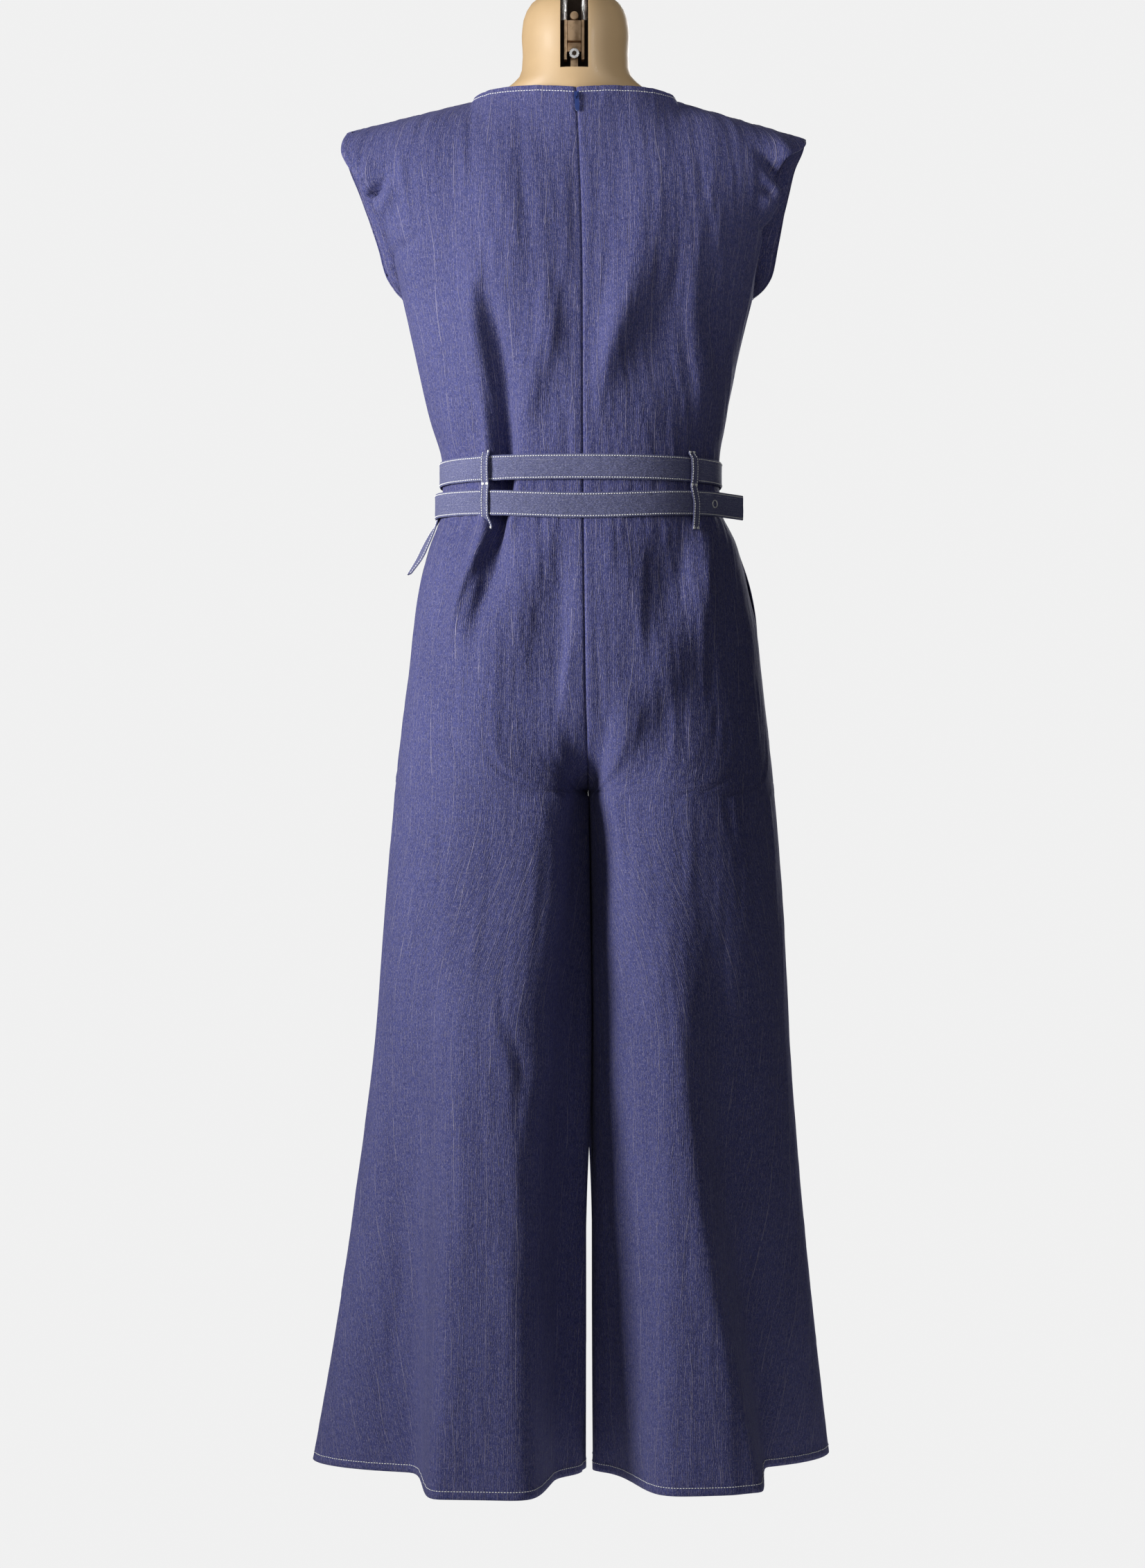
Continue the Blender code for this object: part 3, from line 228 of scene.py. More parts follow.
class Book:
    """The nodes of one material."""

    def __init__(self, name: str) -> None:
        """Make the material with its Principled shader."""
        self.material = bpy.data.materials.new(name)
        self.material.use_nodes = True
        self.tree = self.material.node_tree
        self.shader = self.tree.nodes["Principled BSDF"]

    def node(self, kind: str, settings: dict | None = None,
             inputs: dict | None = None) -> bpy.types.Node:
        """Add one node.

        Args:
            kind: the node's type.
            settings: its own settings, which are set first.
            inputs: values or links for its sockets, by name or number.

        Returns:
            The node.
        """
        node = self.tree.nodes.new(kind)
        for key, value in (settings or {}).items():
            setattr(node, key, value)
        for key, value in (inputs or {}).items():
            self.feed(node.inputs[key], value)
        return node

    def feed(self, socket: bpy.types.NodeSocket, value: object) -> None:
        """Link a socket or set its value."""
        if isinstance(value, Shade):
            self.tree.links.new(value.socket, socket)
        elif isinstance(value, bpy.types.NodeSocket):
            self.tree.links.new(value, socket)
        elif isinstance(value, tuple) and len(value) == 3 and socket.type == "RGBA":
            socket.default_value = (*value, 1.0)
        else:
            socket.default_value = value

    def stretched(self, source: str, sizes: tuple) -> bpy.types.NodeSocket:
        """Coordinates scaled so that 1 is one size of the pattern.

        Args:
            source: "UV" or "Object".
            sizes: the pattern's size along each axis, in metres.

        Returns:
            The coordinates' socket.
        """
        coordinates = self.node("ShaderNodeTexCoord").outputs[source]
        inputs = {"Vector": coordinates, "Scale": tuple(1.0 / size for size in sizes)}
        return self.node("ShaderNodeMapping", None, inputs).outputs[0]

    def noise(self, vector: bpy.types.NodeSocket, detail: float = 2.0,
              rough: float = 0.5) -> Shade:
        """Noise of about 0 to 1 at the given coordinates."""
        inputs = {"Vector": vector, "Scale": 1.0, "Detail": detail, "Roughness": rough}
        return Shade(self, self.node("ShaderNodeTexNoise", None, inputs).outputs["Fac"])

    def mixed(self, share: Shade, first: object, second: object) -> bpy.types.NodeSocket:
        """The first colour, turned into the second by the share."""
        node = self.node("ShaderNodeMix", {"data_type": "RGBA"})
        self.feed(node.inputs[0], share)
        self.feed(node.inputs[6], first)
        self.feed(node.inputs[7], second)
        return node.outputs[2]

    def bump(self, height: Shade, depth: float,
             under: bpy.types.NodeSocket | None = None) -> bpy.types.NodeSocket:
        """A surface relief.

        Args:
            height: its height, from 0 to 1.
            depth: what a height of 1 is, in metres.
            under: the normal of a coarser relief that it lies on.

        Returns:
            The normal's socket.
        """
        inputs = {"Height": height, "Distance": depth}
        if under is not None:
            inputs["Normal"] = under
        return self.node("ShaderNodeBump", None, inputs).outputs[0]

    def dress(self, **inputs: object) -> bpy.types.Material:
        """Feed the Principled shader's sockets, named with underscores, and return the material."""
        for key, value in inputs.items():
            self.feed(self.shader.inputs[key.replace("_", " ")], value)
        return self.material


@dataclass(frozen=True)
class CrinkledDenim:
    """Light denim whose pale crinkles run along its grain.

    The pattern follows the piece's UV map, in metres: U across the grain and V along it.
    """

    name: str
    ground: Colour
    dark: Colour
    pale: Colour
    crinkle_width: float = 0.0019
    crinkle_length: float = 0.032
    crinkles: float = 0.75

    def make(self) -> bpy.types.Material:
        """Build the material."""
        book = Book(self.name)
        across, length = self.crinkle_width, self.crinkle_length

        def grain(wide: float, long: float, detail: float = 2.0) -> Shade:
            """Noise whose patches are this many crinkles wide and long."""
            return book.noise(book.stretched("UV", (across * wide, length * long, 1.0)), detail,
                              0.6)

        def lines(spacing: float, wander: float, wide: float, long: float, thin: float) -> Shade:
            """Thin lines along the grain, which wander as the noise of that size does."""
            run = book.stretched("UV", (across * spacing, 1.0, 1.0))
            place = Shade(book, book.node("ShaderNodeSeparateXYZ", None, {0: run}).outputs[0])
            phase = (place + grain(wide, long, 1.0) * wander).fraction()
            return (1.0 - abs(phase - 0.5) * thin).over(0.0, 1.0)

        gaps = grain(4.0, 0.35, 2.0).over(0.45, 0.58)
        small_gaps = grain(2.2, 0.2, 1.0).over(0.42, 0.6)
        threads = lines(2.4, 1.3, 7.0, 1.0, 9.0) * gaps
        hairs = lines(1.05, 1.5, 3.2, 0.6, 5.0) * small_gaps
        long_lines = lines(17.0, 0.9, 30.0, 5.0, 62.0) * grain(12.0, 1.2).over(0.42, 0.52)
        fine = grain(0.42, 0.13)
        patches = book.noise(book.stretched("UV", (0.05, 0.14, 1.0)), 2.0)
        flecks = book.noise(book.stretched("UV", (0.0008, 0.0018, 1.0)), 1.0).over(0.52, 0.74)
        depth = fine.over(0.34, 0.66) * 0.8 + patches.over(0.3, 0.7) * 0.2
        cloth = book.mixed(depth, self.dark, self.ground)
        cloth = book.mixed(flecks * 0.34, cloth, self.pale)
        drawn = threads * 0.42 + hairs * 0.42 + long_lines * 0.6
        pale = book.mixed(drawn * self.crinkles, cloth, self.pale)
        relief = threads * 0.35 + hairs * 0.35 + fine * 0.5 + long_lines * 0.4
        coarse = grain(4.0, 0.7)
        weave = book.noise(book.stretched("UV", (0.0005, 0.0009, 1.0)), 1.0)
        normal = None
        for height, reach in ((coarse, 0.0013), (relief, 0.0008), (weave, 0.0002)):
            normal = book.bump(height, reach, normal)
        return book.dress(
            Base_Color=pale,
            Roughness=0.8 + flecks * 0.12,
            Normal=normal,
            Sheen_Weight=0.08,
            Sheen_Roughness=0.45,
            Sheen_Tint=(0.62, 0.62, 0.95),
            Specular_IOR_Level=0.22,
        )


@dataclass(frozen=True)
class CrinkledInside:
    """The denim's plain inner side, patterned on the object's own coordinates."""

    name: str
    ground: Colour
    pale: Colour

    def make(self) -> bpy.types.Material:
        """Build the material."""
        book = Book(self.name)
        grain = book.noise(book.stretched("Object", (0.0022, 0.0022, 0.02)), 3.0, 0.6)
        fleck = book.noise(book.stretched("Object", (0.0007, 0.0007, 0.0022)), 1.0)
        colour = book.mixed(fleck.over(0.45, 0.7), self.ground, self.pale)
        return book.dress(Base_Color=colour, Roughness=0.85, Normal=book.bump(grain, 0.0008))


@dataclass(frozen=True)
class Thread:
    """White topstitching thread with its twist."""

    name: str
    colour: Colour

    def make(self) -> bpy.types.Material:
        """Build the material."""
        book = Book(self.name)
        twist = book.noise(book.stretched("Object", (0.0005, 0.0005, 0.0005)), 1.0)
        colour = book.mixed(twist.over(0.3, 0.7), tuple(c * 0.78 for c in self.colour), self.colour)
        return book.dress(Base_Color=colour, Roughness=0.65, Normal=book.bump(twist, 0.0001))


@dataclass(frozen=True)
class Painted:
    """A smooth moulded or painted surface with faint mottling."""

    name: str
    colour: Colour
    roughness: float
    mottle: float = 0.06
    grain: float = 0.012
    coat: float = 0.0

    def make(self) -> bpy.types.Material:
        """Build the material."""
        book = Book(self.name)
        cloud = book.noise(book.stretched("Object", (self.grain * 6,) * 3), 3.0)
        speck = book.noise(book.stretched("Object", (self.grain * 0.12,) * 3), 2.0)
        deeper = tuple(c * (1 - self.mottle * 2) for c in self.colour)
        colour = book.mixed(cloud.over(0.3, 0.7), deeper, self.colour)
        rough = self.roughness + speck * 0.08
        normal = book.bump(speck, 0.00006)
        return book.dress(Base_Color=colour, Roughness=rough, Normal=normal, Coat_Weight=self.coat)


@dataclass(frozen=True)
class Metal:
    """A worn metal with fine scratches and dull patches."""

    name: str
    colour: Colour
    dull: Colour
    roughness: float
    relief: float = 0.00005
    shine: float = 1.0

    def make(self) -> bpy.types.Material:
        """Build the material."""
        book = Book(self.name)
        scratch = book.noise(book.stretched("Object", (0.006, 0.0006, 0.0006)), 3.0, 0.7)
        patch = book.noise(book.stretched("Object", (0.006,) * 3), 3.0)
        colour = book.mixed(patch.over(0.42, 0.68), self.colour, self.dull)
        rough = self.roughness + patch.over(0.4, 0.7) * 0.22 + scratch * 0.1
        normal = book.bump(scratch, self.relief)
        return book.dress(Base_Color=colour, Metallic=self.shine, Roughness=rough, Normal=normal)


class Finish(Enum):
    """Material slot names, handed to the cupboard along with a piece's finish."""

    DENIM = "denim"
    BELT = "belt_denim"
    FORM = "form_skin"
    STEEL = "steel"


@dataclass
class Cupboard:
    """Every finish, made once."""

    materials: dict[str, bpy.types.Material] = field(default_factory=dict)

    def __post_init__(self) -> None:
        """Make the finishes."""
        recipes = {
            "denim": CrinkledDenim("denim", (0.073, 0.078, 0.224), (0.026, 0.029, 0.112),
                                   (0.4, 0.365, 0.46)),
            "belt": CrinkledDenim("belt_denim", (0.135, 0.14, 0.27), (0.06, 0.066, 0.145),
                                  (0.44, 0.44, 0.6), 0.0013, 0.016, 0.85),
            "inside": CrinkledInside("denim_inside", (0.075, 0.085, 0.2), (0.16, 0.17, 0.3)),
            "thread": Thread("white_thread", (0.93, 0.93, 0.92)),
            "dark_thread": Thread("blue_thread", (0.07, 0.08, 0.2)),
            "zip": Painted("zip_paint", (0.022, 0.042, 0.17), 0.32, grain=0.002, coat=0.3),
            "tape": Painted("zip_tape", (0.02, 0.028, 0.09), 0.8, grain=0.002),
            "form": Painted("form_shell", (0.505, 0.345, 0.182), 0.5, coat=0.03),
            # near-black brown: painted shade for the faces inside the neck slot and the screw's
            # socket
            "slot": Painted("recess_painted_shade", (0.06, 0.035, 0.02), 0.7),
            "brass": Metal("brass", (0.72, 0.5, 0.3), (0.6, 0.4, 0.23), 0.36, shine=0.45),
            "steel": Metal("steel", (0.8, 0.8, 0.8), (0.62, 0.62, 0.62), 0.22, shine=0.75),
            "foil": Metal("foil", (0.86, 0.85, 0.82), (0.62, 0.6, 0.6), 0.16, 0.0002, 0.7),
        }
        for name, recipe in recipes.items():
            self.materials[name] = recipe.make()

    def dress(self, piece: bpy.types.Object, finish: str, slot: Finish | None = None) -> None:
        """Give a new piece its material and the body that it rides on."""
        piece.data.materials.clear()
        piece.data.materials.append(self.materials[finish])
        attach(piece, BODY)


# ------------------------------------------------------------------ the garment's cut


@dataclass(frozen=True)
class Section:
    """The cloth's outline at one height: half widths, depths and the y of the side seams."""

    z: float
    left: float
    right: float
    back: float
    front: float
    seam_left: float
    seam_right: float


@dataclass(frozen=True)
class Level:
    """Where the centre seams lie at one height, and the inner legs' gap and places."""

    z: float
    centre: float
    half_gap: float
    left_y: float
    right_y: float


@dataclass(frozen=True)
class Flute:
    """A flare of one leg: walls' x at crotch, mid leg and hem, their softness, and its height."""

    panel: str
    inner: tuple[float, float, float]
    outer: tuple[float, float, float]
    inner_soft: Place
    outer_soft: Place
    height: float


@dataclass(frozen=True)
class Fold:
    """A trough (depth under 0) or ridge over three (x, z) places, deepest at the middle.

    The breadths are its reach towards -X and towards +X.
    """

    panel: str
    depth: float
    breadth: Place
    top: Place
    middle: Place
    bottom: Place


@dataclass(frozen=True)
class Panel:
    """One cut piece of cloth: 1 for the wearer's left and for the back, -1 for the others."""

    name: str
    side: int
    face: int


PANELS = (
    Panel("back_left", 1, 1),
    Panel("back_right", -1, 1),
    Panel("front_left", 1, -1),
    Panel("front_right", -1, -1),
)


@dataclass(frozen=True)
class Cut:
    """The garment's sizes in millimetres, and the surface that they give."""

    hem: float = -723.0
    crotch: float = -10.0
    crotch_rise: float = 110.0
    thigh_foot: float = -140.0
    thigh_top: float = 150.0
    seam_reach: float = 0.4
    underarm: float = 514.0
    roundness: float = 2.3
    leg_roundness: float = 2.2
    neck_left: float = 114.0
    neck_right: float = 101.0
    neck_side_z: float = 724.0
    neck_back: Place = (61.0, 726.0)
    neck_back_lift: float = 4.0
    neck_front: Place = (-82.0, 652.0)
    neck_share: float = 8 / 18
    shoulder_y: float = -1.0
    shoulder_pull: float = 230.0
    upright_pull: float = 190.0
    flute_top: float = 60.0
    flute_growth: float = 1.5
    pocket_top: float = 262.0
    pocket_foot: float = 140.0
    sections: tuple[Section, ...] = (
        Section(-723, 287, 269, 54, 55, -41, -78),
        Section(-572, 260, 250, 67, 68, -26, -42),
        Section(-425, 238, 234, 82, 82, -14, -20),
        Section(-278, 219, 222, 98, 96, -6, -8),
        Section(-131, 207, 214, 112, 108, 0, 0),
        Section(-3, 196, 204, 128, 120, 0, 0),
        Section(53, 190, 198, 134, 122, 0, 0),
        Section(126, 181, 190, 135, 122, 0, 0),
        Section(163, 177, 186, 131, 121, 0, 0),
        Section(200, 171, 178, 124, 118, 0, 0),
        Section(236, 164, 169.5, 117, 114, 0, 0),
        Section(255, 158.5, 164, 113, 111, 0, 0),
        Section(270, 152.5, 156.5, 109, 109, 0, 0),
        Section(285, 147.5, 149, 107, 107, 0, 0),
        Section(306, 146, 147, 106, 107, 0, 0),
        Section(345, 147.5, 147, 107, 110, 0, 0),
        Section(383, 159, 153, 110, 118, 0, 0),
        Section(420, 168, 160, 112, 126, 0, 0),
        Section(457, 176, 168, 114, 130, 0, 0),
        Section(514, 189, 182, 112, 128, 2, 2),
    )
    levels: tuple[Level, ...] = (
        Level(-723, -9.0, 3.6, 6, 16),
        Level(-600, -8.8, 3.2, 8, 14),
        Level(-120, -8.1, 2.2, 10, 10),
        Level(-60, -7.9, 1.6, 10, 10),
        Level(-10, -7.7, 0.0, 10, 10),
        Level(83, -5.0, 0.0, 10, 10),
        Level(166, -3.7, 0.0, 10, 10),
        Level(350, -2.0, 0.0, 10, 10),
        Level(600, 0.0, 0.0, 10, 10),
        Level(730, 5.0, 0.0, 10, 10),
    )
    flutes: tuple[Flute, ...] = (
        Flute("back_left", (64, 46, 34), (136, 149, 163), (34, 13), (34, 7), 118),
        Flute("back_right", (-62, -60, -58), (-106, -130, -190), (30, 20), (26, 3), 113),
        Flute("front_left", (58, 62, 66), (132, 158, 182), (34, 18), (34, 10), 104),
        Flute("front_right", (-48, -42, -38), (-118, -140, -166), (34, 14), (30, 9), 108),
    )
    folds: tuple[Fold, ...] = (
        Fold("back_left", -24, (12, 12), (112, 600), (80, 306), (132, 90)),
        Fold("back_left", 7, (20, 20), (36, 540), (40, 420), (66, 352)),
        Fold("back_left", -8, (14, 14), (26, 470), (34, 420), (44, 352)),
        Fold("back_left", -9, (18, 18), (8, 282), (34, 170), (50, 30)),
        Fold("back_right", 8, (18, 18), (-62, 570), (-34, 470), (-8, 356)),
        Fold("back_right", -9, (18, 18), (-60, 540), (-28, 420), (-12, 352)),
        Fold("back_right", 6, (18, 18), (-134, 500), (-130, 420), (-122, 352)),
        Fold("back_right", -12, (24, 24), (-26, 290), (-68, 190), (-88, 90)),
        Fold("back_right", 7, (20, 20), (-116, 256), (-108, 190), (-100, 120)),
        Fold("back_right", 8, (22, 22), (-62, 120), (-48, 40), (-30, -60)),
        Fold("front_left", -20, (12, 12), (96, 470), (74, 306), (104, 110)),
        Fold("front_left", -9, (18, 18), (30, 290), (44, 190), (60, 60)),
        Fold("front_right", -18, (12, 12), (-104, 480), (-82, 306), (-118, 100)),
        Fold("front_right", -10, (20, 20), (-24, 286), (-50, 190), (-62, 50)),
    )
    armholes: dict[str, tuple] = field(default_factory=lambda: {
        "back_left": (
            (189, 2, 514), (194, 18, 538), (202, 34, 565), (210, 43, 594), (226, 46, 616),
            (235, 42, 634), (247, 34, 652), (253, 22, 667), (252, 10, 681), (248, -1, 691),
        ),
        "back_right": (
            (-182, 2, 514), (-185, 18, 541), (-191, 32, 570), (-200, 40, 597), (-208, 45, 618),
            (-208, 46, 634), (-210, 44, 648), (-226, 34, 662), (-237, 18, 674), (-239, -1, 684),
        ),
        "front_left": (
            (189, 2, 514), (200, -22, 527), (210, -36, 545), (218, -47, 575), (229, -54, 608),
            (239, -50, 636), (248, -38, 658), (252, -20, 676), (248, -1, 691),
        ),
        "front_right": (
            (-182, 2, 514), (-196, -22, 527), (-205, -36, 542), (-213, -47, 578),
            (-219, -54, 609), (-225, -50, 636), (-230, -36, 658), (-237, -18, 674),
            (-239, -1, 684),
        ),
    })

    def column(self, name: str, z: float) -> float:
        """One size of the sections at a height."""
        return through([row.z for row in self.sections],
                       [getattr(row, name) for row in self.sections], z)

    def level(self, name: str, z: float) -> float:
        """One size of the centre levels at a height."""
        return through([row.z for row in self.levels], [getattr(row, name) for row in self.levels],
                       z)

    def half_width(self, panel: Panel, z: float) -> float:
        """The side seam's x."""
        return panel.side * self.column("left" if panel.side > 0 else "right", z)

    def depth(self, panel: Panel, z: float) -> float:
        """How far the panel stands back or forward."""
        return panel.face * self.column("back" if panel.face > 0 else "front", z)

    def plain_outline(self, panel: Panel, z: float, count: int = 300) -> np.ndarray:
        """The panel's outline at one height without folds, from the centre to the side seam."""
        share = np.linspace(0.0, 1.0, count)
        outer, reach = self.half_width(panel, z), self.depth(panel, z)
        side_y = self.column("seam_left" if panel.side > 0 else "seam_right", z)
        middle = self.level("centre", z)
        turn = share * math.pi / 2
        body_x = middle + (outer - middle) * np.sin(turn) ** (2 / self.roundness)
        body_y = side_y + (reach - side_y) * np.clip(np.cos(turn), 0, 1) ** (2 / self.roundness)
        gap = self.level("half_gap", z) if z < self.crotch else 0.0
        inner_x = middle + panel.side * gap
        inner_y = self.level("left_y" if panel.side > 0 else "right_y", min(z, self.crotch))
        turn = share * math.pi
        bend = np.sign(np.cos(turn)) * np.abs(np.cos(turn)) ** (2 / self.leg_roundness)
        leg_x = (inner_x + outer) / 2 - (outer - inner_x) / 2 * bend
        leg_y = inner_y + (side_y - inner_y) * share
        leg_y = leg_y + reach * np.clip(np.sin(turn), 0, 1) ** (2 / self.leg_roundness)
        rise = np.clip((z - self.crotch) / self.crotch_rise, 0.0, 1.0)
        at_seam = math.sqrt(1.0 - (1.0 - rise) ** 2)
        elsewhere = smooth((z - self.thigh_foot) / (self.thigh_top - self.thigh_foot))
        upright = at_seam + (elsewhere - at_seam) * smooth(share / self.seam_reach)
        x = upright * body_x + (1 - upright) * leg_x
        y = upright * body_y + (1 - upright) * leg_y
        return np.stack([x, y], 1)

    def flute_offset(self, panel: Panel, x: np.ndarray, z: float) -> np.ndarray:
        """How far the leg's flare stands out at each x."""
        total = np.zeros_like(x)
        if z >= self.flute_top:
            return total
        growth = ((self.flute_top - z) / (self.flute_top - self.hem)) ** self.flute_growth
        fall = np.clip((self.crotch - z) / (self.crotch - self.hem), 0.0, 1.0)
        for flute in self.flutes:
            if flute.panel != panel.name:
                continue
            inner = through((0, 0.5, 1), flute.inner, fall)
            outer = through((0, 0.5, 1), flute.outer, fall)
            inner_soft = flute.inner_soft[0] + (flute.inner_soft[1] - flute.inner_soft[0]) * fall
            outer_soft = flute.outer_soft[0] + (flute.outer_soft[1] - flute.outer_soft[0]) * fall
            rise = np.tanh((x - inner) * panel.side / inner_soft)
            drop = np.tanh((x - outer) * panel.side / outer_soft)
            total += flute.height * growth * (rise - drop) / 2
        return total

    def fold_offset(self, panel: Panel, x: np.ndarray, z: np.ndarray | float,
                    folds: tuple[Fold, ...]) -> np.ndarray:
        """How far the folds move the cloth out (or in) at each x."""
        total = np.zeros_like(x)
        for fold in folds:
            if fold.panel != panel.name:
                continue
            (top_x, top_z), (mid_x, mid_z), (foot_x, foot_z) = fold.top, fold.middle, fold.bottom
            line = through((foot_z, mid_z, top_z), (foot_x, mid_x, top_x), z)
            strength = smooth((top_z - z) / (top_z - mid_z)) * smooth((z - foot_z)
                                                                      / (mid_z - foot_z))
            breadth = np.where(x < line, fold.breadth[0], fold.breadth[1])
            total += fold.depth * strength * np.exp(-(((x - line) / breadth) ** 2))
        return total

    def neck_edge(self, panel: Panel, share: float) -> np.ndarray:
        """A place on the neckline, from the centre (0) to the shoulder (1)."""
        turn = share * math.pi / 2
        side_x = self.neck_left if panel.side > 0 else -self.neck_right
        low_y, low_z = self.neck_back if panel.face > 0 else self.neck_front
        middle = self.level("centre", low_z)
        x = middle + (side_x - middle) * math.sin(turn)
        if panel.face > 0:
            z = low_z + self.neck_back_lift * math.sin(math.pi * share)
            z += (self.neck_side_z - low_z) * share
        else:
            z = self.neck_side_z + (low_z - self.neck_side_z) * math.cos(turn)
        return np.array([x, self.shoulder_y + (low_y - self.shoulder_y) * math.cos(turn), z])

    def top_edge(self, panel: Panel, share: float) -> np.ndarray:
        """A place on the panel's top: the neckline, then the shoulder seam."""
        if share <= self.neck_share:
            return self.neck_edge(panel, share / self.neck_share)
        start = self.neck_edge(panel, 1.0)
        end = np.array(self.armholes[panel.name][-1], float)
        return start + (end - start) * (share - self.neck_share) / (1 - self.neck_share)


@dataclass(frozen=True)
class Dimple:
    """A hollow (depth under 0) or bulge: its middle, its reach along and across, and its turn.

    The turn is the angle of its long axis from the level, in degrees, seen from the back with
    the wearer's left at the left.
    """

    panel: str
    depth: float
    middle: Place
    reach: Place
    turn: float

    def lift(self, x: np.ndarray, z: np.ndarray) -> np.ndarray:
        """How far it moves the cloth out at each place."""
        angle = math.radians(self.turn)
        across, rise = self.middle[0] - x, z - self.middle[1]
        along_it = across * math.cos(angle) + rise * math.sin(angle)
        beside_it = rise * math.cos(angle) - across * math.sin(angle)
        return self.depth * np.exp(-((along_it / self.reach[0]) ** 2)
                                   - (beside_it / self.reach[1]) ** 2)


